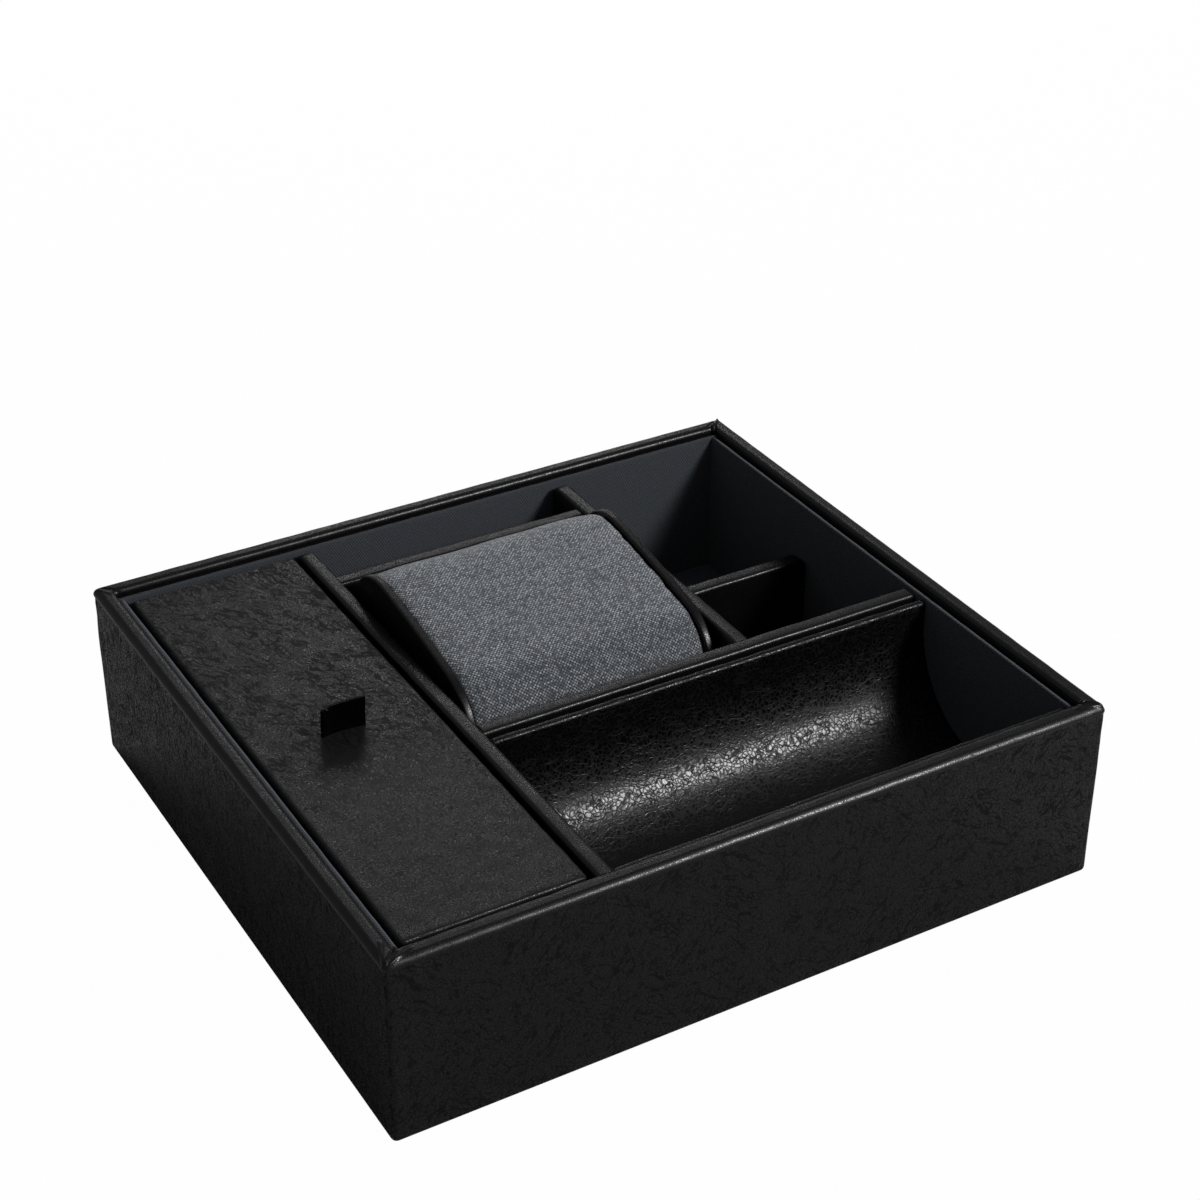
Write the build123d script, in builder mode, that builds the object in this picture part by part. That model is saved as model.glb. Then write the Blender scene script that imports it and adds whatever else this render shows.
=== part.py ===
# Phone valet: a low leather-covered tray with a lidded bay, a watch pillow, a phone slot,
# a rounded trough and two small bays. Millimetres, +Z up, front towards -Y, origin in the
# middle of the underside.
from build123d import *
from math import asin, cos, degrees, radians, sin
import os

# Case, outside
case_width = 187.4
case_depth = 169.4
case_height = 48.7
case_corner_radius = 1.5
rim_radius = 1.4
foot_radius = 0.4

# Sheet materials
leather = 0.6
wall_board = 3.4
base_board_thickness = 3.0
felt_thickness = 1.0
liner_thickness = 1.7
floor_thickness = 1.5
divider_board_thickness = 3.2

# Leather turned in at the rim and under the base, and the folds where it meets at the corners
rim_turn = 14.0
base_turn = 9.0
felt_gap = 0.3
mitre_width = 0.35
mitre_depth = 0.3

# Lining: how far its top lies below the rim, and how soft its top edge is
liner_drop = 2.0
liner_edge_radius = 0.45
floor_gap = 0.3

# Bays that keep their size when the case grows; the watch bay in the middle takes what is left
lid_bay_width = 46.8
small_bay_width = 47.55
trough_bay_depth = 59.7
rear_bay_depth = 44.9
phone_slot_depth = 13.4

# Dividers: how far their tops lie below the rim, and their soft edges
left_divider_drop = 2.0
centre_divider_drop = 3.0
cross_divider_drop = 2.5
slot_divider_drop = 3.8
partition_drop = 16.5
divider_edge_radius = 1.1
divider_end_radius = 3.4
cross_divider_end_radius = 1.4

# Phone step, the raised floor of the phone slot, with its top measured from the table
phone_seat_height = 27.0
step_board = 2.5
pad_thickness = 1.5

# Trough, whose card hangs a little above the base on ribs; each rib hugs it by an angle in
# degrees to either side of its lowest line
trough_card_thickness = 1.0
trough_gap = 1.7
trough_drop = 2.9
trough_under_gap = 7.3
trough_turn = 5.0
trough_edge_radius = 0.8
cradle_thickness = 3.0
cradle_hug = 19.0
cradle_shoulder = 8.6
cradle_inset = 18.0

# Lid
lid_board_thickness = 2.4
lid_lining_thickness = 0.6
lid_drop = 2.4
lid_side_gap = 1.25
lid_end_gap = 1.4
lid_corner_radius = 1.2
lid_edge_radius = 0.9
lid_turn = 7.0
lining_gap = 0.2
seat_gap = 0.2
rest_depth = 5.0
rest_height = 6.0

# Pull tab: a folded leather strip a little forward of the lid's middle, its root spread under
# the lid's board
tab_width = 11.0
tab_height = 8.2
tab_leaf = 1.0
tab_fold_gap = 0.25
tab_clearance = 0.3
tab_forward = 1.5
tab_root_reach = 5.0
tab_root_sheet = 0.6

# Watch pillow, seen from its side; the lean is its top's slope in degrees, just before the peak.
# Its crown falls away over a shoulder at each side
pillow_side_gap = 1.5
pillow_floor_gap = 0.3
pillow_front_gap = 4.9
pillow_back_gap = 5.1
pillow_rise = 6.7
pillow_back_radius = 15.0
pillow_lean = 7.0
pillow_slope_radius = 400.0
pillow_nose_radius = 16.0
pillow_corner_radius = 12.0
pillow_crown = 0.9
pillow_shoulder = 9.0
pillow_cloth = 0.8
pillow_panel = 2.2
pillow_panel_easing = 0.5

# Levels
base_top = felt_thickness + base_board_thickness
cover_bottom = felt_thickness - leather
floor_top = base_top + floor_thickness
liner_top = case_height - liner_drop

# Plan of the walls and of the lined bay
wall = wall_board + 2 * leather
inner_width = case_width - 2 * wall
inner_depth = case_depth - 2 * wall
bay_right = inner_width / 2 - liner_thickness
bay_left = -bay_right
bay_back = inner_depth / 2 - liner_thickness
bay_front = -bay_back

# Faces of the dividers
divider = divider_board_thickness + 2 * leather
left_divider_left = bay_left + lid_bay_width
left_divider_right = left_divider_left + divider
centre_divider_right = bay_right - small_bay_width
centre_divider_left = centre_divider_right - divider
cross_divider_front = bay_front + trough_bay_depth
cross_divider_back = cross_divider_front + divider
slot_divider_back = bay_back - phone_slot_depth
slot_divider_front = slot_divider_back - divider
partition_back = bay_back - rear_bay_depth
partition_front = partition_back - divider


def span(length, middle=0.0):
    """The two ends of a length laid evenly about a middle."""
    return (middle - length / 2, middle + length / 2)


def inset(ends, amount):
    """The two ends of a span, each drawn in by an amount."""
    return (ends[0] + amount, ends[1] - amount)


def block(x_ends, y_ends, z_ends, corner_radius=0.0):
    """A board or sheet between two x, two y and two z values."""
    width = x_ends[1] - x_ends[0]
    depth = y_ends[1] - y_ends[0]
    with BuildPart() as body:
        with BuildSketch(Plane.XY.offset(z_ends[0])):
            with Locations(((x_ends[0] + x_ends[1]) / 2, (y_ends[0] + y_ends[1]) / 2)):
                if corner_radius > 0:
                    RectangleRounded(width, depth, corner_radius)
                else:
                    Rectangle(width, depth)
        extrude(amount=z_ends[1] - z_ends[0])
    return body.part


# Base and walls
with BuildPart() as base_felt:
    felt_margin = base_turn + felt_gap
    add(
        block(
            span(case_width - 2 * felt_margin),
            span(case_depth - 2 * felt_margin),
            (0, felt_thickness),
            case_corner_radius,
        )
    )

with BuildPart() as base_board:
    add(
        block(
            span(case_width - 2 * leather),
            span(case_depth - 2 * leather),
            (felt_thickness, base_top),
            case_corner_radius - leather,
        )
    )

# All four wall boards as one ring, which is then cut into boards with butted corners
with BuildPart() as wall_ring:
    with BuildSketch(Plane.XY.offset(base_top)):
        RectangleRounded(
            case_width - 2 * leather, case_depth - 2 * leather, case_corner_radius - leather
        )
        Rectangle(inner_width + 2 * leather, inner_depth + 2 * leather, mode=Mode.SUBTRACT)
    extrude(amount=case_height - leather - base_top)
    fillet(wall_ring.faces().sort_by(Axis.Z)[-1].edges(), rim_radius - leather)


def wall_piece(x_ends, y_ends):
    """The part of the wall ring that lies in a plan rectangle."""
    with BuildPart() as piece:
        add(wall_ring.part)
        add(block(x_ends, y_ends, (base_top, case_height)), mode=Mode.INTERSECT)
    return piece.part


half_width = case_width / 2
half_depth = case_depth / 2
side_board_end = inner_depth / 2 + leather
front_wall_board = wall_piece((-half_width, half_width), (-half_depth, -side_board_end))
rear_wall_board = wall_piece((-half_width, half_width), (side_board_end, half_depth))
left_wall_board = wall_piece((-half_width, 0), (-side_board_end, side_board_end))
right_wall_board = wall_piece((0, half_width), (-side_board_end, side_board_end))

# The skin: up the outside of the walls, over the rim, down inside and turned under the base
with BuildPart() as outer_cover:
    with BuildSketch(Plane.XY.offset(cover_bottom)):
        RectangleRounded(case_width, case_depth, case_corner_radius)
        Rectangle(inner_width, inner_depth, mode=Mode.SUBTRACT)
    extrude(amount=case_height - cover_bottom)
    fillet(outer_cover.faces().sort_by(Axis.Z)[-1].edges(), rim_radius)
    add(wall_ring.part, mode=Mode.SUBTRACT)
    add(
        block(
            span(inner_width + 2 * leather),
            span(inner_depth + 2 * leather),
            (cover_bottom, case_height - rim_turn),
        ),
        mode=Mode.SUBTRACT,
    )
    with BuildSketch(Plane.XY.offset(cover_bottom)):
        RectangleRounded(case_width, case_depth, case_corner_radius)
        Rectangle(case_width - 2 * base_turn, case_depth - 2 * base_turn, mode=Mode.SUBTRACT)
    extrude(amount=base_top - cover_bottom)
    fillet(outer_cover.faces().sort_by(Axis.Z)[0].outer_wire().edges(), foot_radius)
    add(base_board.part, mode=Mode.SUBTRACT)
    # Folds where the skin meets itself at the four corners of the rim
    for side_x in (-1, 1):
        for side_y in (-1, 1):
            corner = (side_x * (half_width - wall / 2), side_y * (half_depth - wall / 2), case_height)
            with Locations(Location(corner, (0, 0, 45 * side_x * side_y))):
                Box(2 * wall, mitre_width, 2 * mitre_depth, mode=Mode.SUBTRACT)


# Lining
def wall_liner(x_ends, y_ends):
    """A card covered in twill, standing on the base against a wall, with a soft top edge."""
    along = Axis.X if x_ends[1] - x_ends[0] > y_ends[1] - y_ends[0] else Axis.Y
    with BuildPart() as liner:
        add(block(x_ends, y_ends, (base_top, liner_top)))
        fillet(liner.faces().sort_by(Axis.Z)[-1].edges().filter_by(along), liner_edge_radius)
    return liner.part


def floor_liner(x_ends, y_ends):
    """A card covered in twill on the floor of a bay."""
    return block(inset(x_ends, floor_gap), inset(y_ends, floor_gap), (base_top, floor_top))


front_liner = wall_liner(span(inner_width), (-inner_depth / 2, bay_front))
rear_liner = wall_liner(span(inner_width), (bay_back, inner_depth / 2))
left_liner = wall_liner((-inner_width / 2, bay_left), (bay_front, bay_back))
right_liner = wall_liner((bay_right, inner_width / 2), (bay_front, bay_back))

lid_bay_floor = floor_liner((bay_left, left_divider_left), (bay_front, bay_back))
watch_bay_floor = floor_liner(
    (left_divider_right, centre_divider_left), (cross_divider_back, slot_divider_front)
)
rear_bay_floor = floor_liner((centre_divider_right, bay_right), (partition_back, bay_back))
front_bay_floor = floor_liner((centre_divider_right, bay_right), (cross_divider_back, partition_front))


# Dividers
def slab(plane, ends, top, thickness, end_radii):
    """An upright board on a plane, from the base up.

    end_radii rounds its two top corners, at the start and the end; 0 leaves one square.
    """
    with BuildPart() as body:
        with BuildSketch(plane) as side:
            with Locations(((ends[0] + ends[1]) / 2, base_top)):
                Rectangle(ends[1] - ends[0], top - base_top, align=(Align.CENTER, Align.MIN))
            top_corners = side.vertices().group_by(Axis.Y)[-1].sort_by(Axis.X)
            for corner, radius in zip(top_corners, end_radii):
                if radius > 0:
                    fillet(corner, radius)
        extrude(amount=thickness / 2, both=True)
    return body.part


def wrapped_board(plane, ends, top, end_radii):
    """A divider's square-edged board, and the wrap over its faces, its top and its rounded ends."""
    board_ends = (
        ends[0] + (leather if end_radii[0] > 0 else 0),
        ends[1] - (leather if end_radii[1] > 0 else 0),
    )
    board = slab(
        plane,
        board_ends,
        top - leather,
        divider_board_thickness,
        [max(radius - leather, 0) for radius in end_radii],
    )
    with BuildPart() as cover:
        add(slab(plane, ends, top, divider, end_radii))
        across = Axis((0, 0, 0), plane.z_dir)
        faces = cover.faces().filter_by(across).sort_by(across)
        outline = (faces[0].edges() + faces[-1].edges()).filter_by(Axis.Z, reverse=True)
        middle = (base_top + top) / 2
        fillet(outline.filter_by(lambda edge: edge.center().Z > middle), divider_edge_radius)
        add(board, mode=Mode.SUBTRACT)
    return board, cover.part


left_divider_board, left_divider_cover = wrapped_board(
    Plane.YZ.offset((left_divider_left + left_divider_right) / 2),
    (bay_front, bay_back),
    case_height - left_divider_drop,
    (0, divider_end_radius),
)
centre_divider_board, centre_divider_cover = wrapped_board(
    Plane.YZ.offset((centre_divider_left + centre_divider_right) / 2),
    (cross_divider_back, bay_back),
    case_height - centre_divider_drop,
    (0, divider_end_radius),
)
cross_divider_board, cross_divider_cover = wrapped_board(
    Plane.XZ.offset(-(cross_divider_front + cross_divider_back) / 2),
    (left_divider_right, bay_right),
    case_height - cross_divider_drop,
    (0, cross_divider_end_radius),
)
slot_divider_board, slot_divider_cover = wrapped_board(
    Plane.XZ.offset(-(slot_divider_front + slot_divider_back) / 2),
    (left_divider_right, centre_divider_left),
    case_height - slot_divider_drop,
    (0, 0),
)
partition_board, partition_cover = wrapped_board(
    Plane.XZ.offset(-(partition_front + partition_back) / 2),
    (centre_divider_right, bay_right),
    case_height - partition_drop,
    (0, divider_end_radius),
)

# Phone step: a folded board that stands in the phone slot, with a twill pad on it
slot_x = (left_divider_right, centre_divider_left)
slot_y = (slot_divider_back, bay_back)
step_top = phone_seat_height - pad_thickness

with BuildPart() as phone_step:
    add(block(slot_x, slot_y, (base_top, step_top)))
    add(
        block(slot_x, inset(slot_y, step_board), (base_top, step_top - step_board)),
        mode=Mode.SUBTRACT,
    )

phone_pad = block(
    inset(slot_x, floor_gap), inset(slot_y, floor_gap), (step_top, phone_seat_height)
)

# Trough: bent card with a leather lining that turns over both of its top edges
trough_front = bay_front
trough_back = cross_divider_front - trough_gap
trough_edge = trough_card_thickness + 2 * leather
trough_radius = (trough_back - trough_front) / 2 - trough_edge
trough_under_radius = trough_radius + leather + trough_card_thickness
trough_y = (trough_front + trough_back) / 2
trough_top = case_height - trough_drop
trough_axis_z = base_top + trough_under_gap + trough_under_radius
trough_x = (left_divider_right, bay_right)


def channel(radius, top):
    """A round-bottomed block along the trough, with straight sides up to a top."""
    with BuildPart() as body:
        with BuildSketch(Plane.YZ.offset(trough_x[0])):
            with BuildLine():
                bowl = CenterArc((trough_y, trough_axis_z), radius, 180, 180)
                Polyline(
                    bowl @ 1, (trough_y + radius, top), (trough_y - radius, top), bowl @ 0
                )
            make_face()
        extrude(amount=trough_x[1] - trough_x[0])
    return body.part


with BuildPart() as trough_card:
    add(channel(trough_under_radius, trough_top - leather))
    add(channel(trough_radius + leather, trough_top), mode=Mode.SUBTRACT)

with BuildPart() as trough_cover:
    add(channel(trough_radius + leather, trough_top))
    for turned_y in (
        (trough_front, trough_front + trough_edge),
        (trough_back - trough_edge, trough_back),
    ):
        add(block(trough_x, turned_y, (trough_top - trough_turn, trough_top)))
    add(channel(trough_radius, trough_top), mode=Mode.SUBTRACT)
    lips = trough_cover.faces().filter_by(Axis.Z).group_by(Axis.Z)[-1]
    fillet(lips.edges().filter_by(Axis.X), trough_edge_radius)
    add(trough_card.part, mode=Mode.SUBTRACT)


cradle_width = 2 * (trough_under_radius * sin(radians(cradle_hug)) + cradle_shoulder)
cradle_top = trough_axis_z - trough_under_radius * cos(radians(cradle_hug))


def cradle(x):
    """A rib on the base whose hollow top carries the trough; its middle lies at x."""
    with BuildPart() as rib:
        with BuildSketch(Plane.YZ.offset(x)):
            with Locations((trough_y, base_top)):
                Rectangle(cradle_width, cradle_top - base_top, align=(Align.CENTER, Align.MIN))
            with Locations((trough_y, trough_axis_z)):
                Circle(trough_under_radius, mode=Mode.SUBTRACT)
        extrude(amount=cradle_thickness / 2, both=True)
    return rib.part


left_cradle = cradle(trough_x[0] + cradle_inset)
right_cradle = cradle(trough_x[1] - cradle_inset)

# Lid
lid_top = case_height - lid_drop
board_top = lid_top - leather
board_bottom = board_top - lid_board_thickness
lid_bottom = board_bottom - lid_lining_thickness
lid_x = inset((bay_left, left_divider_left), lid_side_gap)
lid_y = inset((bay_front, bay_back), lid_end_gap)
tab_x = (lid_x[0] + lid_x[1]) / 2
tab_y = (lid_y[0] + lid_y[1]) / 2 - tab_forward
tab_thickness = 2 * tab_leaf + tab_fold_gap

# The root of the pull tab passes through the lid and spreads under its board
with BuildPart() as tab_root:
    stem_x = span(tab_width, tab_x)
    stem_y = span(tab_thickness, tab_y)
    add(block(stem_x, stem_y, (board_bottom, lid_top)))
    add(block(stem_x, inset(stem_y, -tab_root_reach), (board_bottom, board_bottom + tab_root_sheet)))

with BuildPart() as lid_board:
    add(block(inset(lid_x, leather), inset(lid_y, leather), (board_bottom, board_top)))
    add(tab_root.part, mode=Mode.SUBTRACT)

with BuildPart() as lid_cover:
    add(block(lid_x, lid_y, (lid_bottom, lid_top), lid_corner_radius))
    fillet(lid_cover.faces().sort_by(Axis.Z)[-1].edges(), lid_edge_radius)
    add(
        block(inset(lid_x, leather), inset(lid_y, leather), (board_bottom, board_top)),
        mode=Mode.SUBTRACT,
    )
    add(
        block(inset(lid_x, lid_turn), inset(lid_y, lid_turn), (lid_bottom, board_bottom)),
        mode=Mode.SUBTRACT,
    )
    add(tab_root.part, mode=Mode.SUBTRACT)

lining_margin = lid_turn + lining_gap
lid_lining = block(
    inset(lid_x, lining_margin), inset(lid_y, lining_margin), (lid_bottom, board_bottom)
)

rest_x = (bay_left, left_divider_left)
rest_z = (lid_bottom - seat_gap - rest_height, lid_bottom - seat_gap)
front_lid_rest = block(rest_x, (bay_front, bay_front + rest_depth), rest_z)
rear_lid_rest = block(rest_x, (bay_back - rest_depth, bay_back), rest_z)

# Pull tab: two leaves folded at the top, on a round foot that it bends about
tab_axis_z = lid_top + tab_clearance + tab_thickness / 2

with BuildPart() as pull_tab:
    with BuildSketch(Plane.YZ.offset(stem_x[0])):
        with Locations((tab_y, lid_top + tab_clearance + tab_height / 2)):
            SlotOverall(tab_height, tab_thickness, rotation=90)
        with Locations((tab_y, tab_axis_z)):
            Rectangle(
                tab_fold_gap,
                tab_height - tab_thickness / 2 - tab_leaf,
                align=(Align.CENTER, Align.MIN),
                mode=Mode.SUBTRACT,
            )
    extrude(amount=tab_width)

# Watch pillow: its side outline runs from the flat underside up the back, over the peak, down a
# long slope and round a nose at the front
pillow_x = inset((left_divider_right, centre_divider_left), pillow_side_gap)
pillow_bottom = floor_top + pillow_floor_gap
pillow_peak_z = case_height + pillow_rise
pillow_front_y = cross_divider_back + pillow_front_gap
pillow_back_y = slot_divider_front - pillow_back_gap
pillow_peak_y = pillow_back_y - pillow_back_radius
slope_reach = pillow_peak_y - pillow_front_y - pillow_nose_radius
lean_reach = (pillow_slope_radius - pillow_back_radius) * sin(radians(pillow_lean))
slope_end = degrees(asin((slope_reach + lean_reach) / (pillow_slope_radius - pillow_nose_radius)))


def pillow_outline(x, draw_in):
    """The pillow's side outline at x, drawn in all round."""
    with BuildSketch(Plane.YZ.offset(x)) as outline:
        with BuildLine():
            bottom = Line(
                (pillow_front_y + pillow_corner_radius, pillow_bottom),
                (pillow_back_y - pillow_corner_radius, pillow_bottom),
            )
            heel = JernArc(bottom @ 1, bottom % 1, pillow_corner_radius, 90)
            back = Line(heel @ 1, (pillow_back_y, pillow_peak_z - pillow_back_radius))
            crown = JernArc(back @ 1, back % 1, pillow_back_radius, 90 + pillow_lean)
            slope = JernArc(crown @ 1, crown % 1, pillow_slope_radius, slope_end - pillow_lean)
            nose = JernArc(slope @ 1, slope % 1, pillow_nose_radius, 90 - slope_end)
            front = Line(nose @ 1, (pillow_front_y, pillow_bottom + pillow_corner_radius))
            TangentArc(front @ 1, bottom @ 0, tangent=front % 1)
        make_face()
        if draw_in > 0:
            offset(amount=-draw_in)
    return outline.sketch


def pillow_body(skin):
    """The stuffed part between the side panels, fullest in the middle, less a skin."""
    ends = inset(pillow_x, pillow_panel)
    full = inset(ends, pillow_shoulder)
    sections = [
        pillow_outline(ends[0], pillow_crown + skin),
        pillow_outline(full[0], skin),
        pillow_outline(full[1], skin),
        pillow_outline(ends[1], pillow_crown + skin),
    ]
    with BuildPart() as body:
        loft(sections, ruled=True)
    return body.part


def pillow_side(x):
    """A board side panel in leather, with its edges eased, that starts at x."""
    with BuildPart() as panel:
        extrude(pillow_outline(x, 0), amount=pillow_panel)
        chamfer(panel.faces().filter_by(Axis.X).edges(), pillow_panel_easing)
    return panel.part


with BuildPart() as pillow_core:
    add(pillow_body(pillow_cloth))

with BuildPart() as pillow_cover:
    add(pillow_body(0))
    add(pillow_core.part, mode=Mode.SUBTRACT)

pillow_left_side = pillow_side(pillow_x[0])
pillow_right_side = pillow_side(pillow_x[1] - pillow_panel)

pieces = {
    "base_felt": base_felt.part,
    "base_board": base_board.part,
    "front_wall_board": front_wall_board,
    "rear_wall_board": rear_wall_board,
    "left_wall_board": left_wall_board,
    "right_wall_board": right_wall_board,
    "outer_cover": outer_cover.part,
    "front_liner": front_liner,
    "rear_liner": rear_liner,
    "left_liner": left_liner,
    "right_liner": right_liner,
    "lid_bay_floor": lid_bay_floor,
    "watch_bay_floor": watch_bay_floor,
    "rear_bay_floor": rear_bay_floor,
    "front_bay_floor": front_bay_floor,
    "left_divider_board": left_divider_board,
    "left_divider_cover": left_divider_cover,
    "centre_divider_board": centre_divider_board,
    "centre_divider_cover": centre_divider_cover,
    "cross_divider_board": cross_divider_board,
    "cross_divider_cover": cross_divider_cover,
    "slot_divider_board": slot_divider_board,
    "slot_divider_cover": slot_divider_cover,
    "partition_board": partition_board,
    "partition_cover": partition_cover,
    "phone_step": phone_step.part,
    "phone_pad": phone_pad,
    "trough_card": trough_card.part,
    "trough_cover": trough_cover.part,
    "left_cradle": left_cradle,
    "right_cradle": right_cradle,
    "front_lid_rest": front_lid_rest,
    "rear_lid_rest": rear_lid_rest,
    "lid_board": lid_board.part,
    "lid_cover": lid_cover.part,
    "lid_lining": lid_lining,
    "tab_root": tab_root.part,
    "pull_tab": pull_tab.part,
    "pillow_core": pillow_core.part,
    "pillow_cover": pillow_cover.part,
    "pillow_left_side": pillow_left_side,
    "pillow_right_side": pillow_right_side,
}

os.makedirs("parts", exist_ok=True)
for name, piece in pieces.items():
    piece.label = name
    export_step(piece, f"parts/{name}.step")
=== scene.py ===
"""Phone valet: a low tray in black grained leather cloth, lined with blue-grey twill.

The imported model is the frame. The board, card and felt parts of the frame stay as they are and get
their finishes here; every part with a covering is made again as the cloth or leather cloth over it.
Lengths are in millimetres until a mesh is made, and Blender's own scene is in metres.
"""

import logging
import math
from dataclasses import dataclass, field
from enum import Enum
from functools import lru_cache
from typing import Callable, Protocol, Sequence

import bmesh
import bpy
import numpy as np
from mathutils import Euler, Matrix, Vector, noise


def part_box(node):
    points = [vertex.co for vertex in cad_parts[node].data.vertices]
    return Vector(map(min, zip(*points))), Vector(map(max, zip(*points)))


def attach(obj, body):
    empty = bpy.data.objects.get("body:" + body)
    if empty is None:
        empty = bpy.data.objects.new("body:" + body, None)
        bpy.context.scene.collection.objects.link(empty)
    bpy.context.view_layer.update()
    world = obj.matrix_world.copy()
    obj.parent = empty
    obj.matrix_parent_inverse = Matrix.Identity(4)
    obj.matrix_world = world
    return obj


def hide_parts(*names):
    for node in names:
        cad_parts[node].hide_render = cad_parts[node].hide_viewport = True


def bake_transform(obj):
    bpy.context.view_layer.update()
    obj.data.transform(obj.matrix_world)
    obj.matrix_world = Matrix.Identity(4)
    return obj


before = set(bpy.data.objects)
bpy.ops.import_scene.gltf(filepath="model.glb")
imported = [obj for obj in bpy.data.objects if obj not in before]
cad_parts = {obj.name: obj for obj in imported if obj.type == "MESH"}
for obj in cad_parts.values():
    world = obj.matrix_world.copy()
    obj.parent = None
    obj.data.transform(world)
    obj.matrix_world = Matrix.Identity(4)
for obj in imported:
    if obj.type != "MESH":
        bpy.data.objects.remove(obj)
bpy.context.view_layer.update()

MM = 0.001
LOG = logging.getLogger("valet")

# Left free between a leather cloth and the board under it
SHEET_GAP = 0.05
# The corner radius of a loose liner
LINER_CORNER = 0.8
# How far inside a rolled edge a panel's faces get their first points, and the steps of the roll
FACE_INSET = 0.8
ROLL_STEPS = 5
# Edges that turn more than this many degrees are shaded as sharp
SHARP_EDGE = 40.0

Point2 = tuple[float, float]
Triple = tuple[float, float, float]
Colour = Triple
Profile = list[Point2]
Socket = bpy.types.NodeSocket
Object = bpy.types.Object
Material = bpy.types.Material


class Body(Enum):
    """The parts of the valet that move on their own."""

    CASE = "case"
    LID = "lid"
    TAB = "pull_tab"
    PILLOW = "pillow"


class Slot(Enum):
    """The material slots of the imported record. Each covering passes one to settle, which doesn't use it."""

    LEATHER = "leather"
    TWILL = "twill"


class Weave(Enum):
    """How a cloth's threads cross."""

    TWILL = "twill"
    CHECKER = "checker"


class Lay(Enum):
    """The plane that a panel's outline lies in."""

    LEVEL = (0, 1, 2)
    FACING_X = (1, 2, 0)
    FACING_Y = (0, 2, 1)


# Places in the frame


@dataclass(frozen=True)
class Span:
    """The lowest and highest corners of a node, in millimetres."""

    low: Vector
    high: Vector

    @property
    def middle(self) -> Vector:
        """The point halfway between the corners."""
        return (self.low + self.high) / 2

    @property
    def size(self) -> Vector:
        """The lengths of the three sides."""
        return self.high - self.low


@lru_cache(maxsize=None)
def span_of(node: str) -> Span:
    """Where a node of the frame lies, in millimetres."""
    low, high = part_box(node)
    return Span(low / MM, high / MM)


# Shader nodes


def opaque(colour: object) -> object:
    """A colour triple with full cover; a socket stays as it is."""
    return (*colour, 1.0) if isinstance(colour, tuple) else colour


class Nodes:
    """A tree of shader nodes being put together."""

    def __init__(self, tree: bpy.types.NodeTree) -> None:
        """Start with the tree empty."""
        self.tree = tree
        tree.nodes.clear()

    def add(self, kind: str, out: str | int = 0, inputs: dict | None = None, **settings) -> Socket:
        """Add one node and give back one of its outputs.

        Args:
            kind: the node's type, without "ShaderNode".
            out: the name or number of the output wanted.
            inputs: values or sockets, by input name or number.
            settings: the node's own properties.

        Returns:
            The output socket.
        """
        node = self.tree.nodes.new("ShaderNode" + kind)
        for key, value in settings.items():
            setattr(node, key, value)
        for key, value in (inputs or {}).items():
            self.feed(node.inputs[key], value)
        return node.outputs[out]

    def feed(self, socket: Socket, value: object) -> None:
        """Join a socket to an input, or set the input's own value."""
        if isinstance(value, Socket):
            self.tree.links.new(value, socket)
        else:
            socket.default_value = value

    def show(self, surface: Socket, kind: str = "Material") -> None:
        """Join a surface to the tree's output."""
        output = self.tree.nodes.new("ShaderNodeOutput" + kind)
        self.feed(output.inputs["Surface"], surface)

    def mixed(self, share: Socket, a: Socket, b: Socket) -> Socket:
        """A surface that goes from one to another with the share."""
        return self.add("MixShader", 0, {0: share, 1: a, 2: b})

    def math(self, operation: str, a: object, b: object = 0.0, c: object = 0.0) -> Socket:
        """A Math node."""
        return self.add("Math", 0, {0: a, 1: b, 2: c}, operation=operation)

    def times(self, a: object, b: object, plus: object = None) -> Socket:
        """One value times another, with a third added if it is given."""
        if plus is None:
            return self.math("MULTIPLY", a, b)
        return self.math("MULTIPLY_ADD", a, b, plus)

    def rest_of(self, share: object) -> Socket:
        """What a share leaves of one."""
        return self.math("SUBTRACT", 1.0, share)


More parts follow.
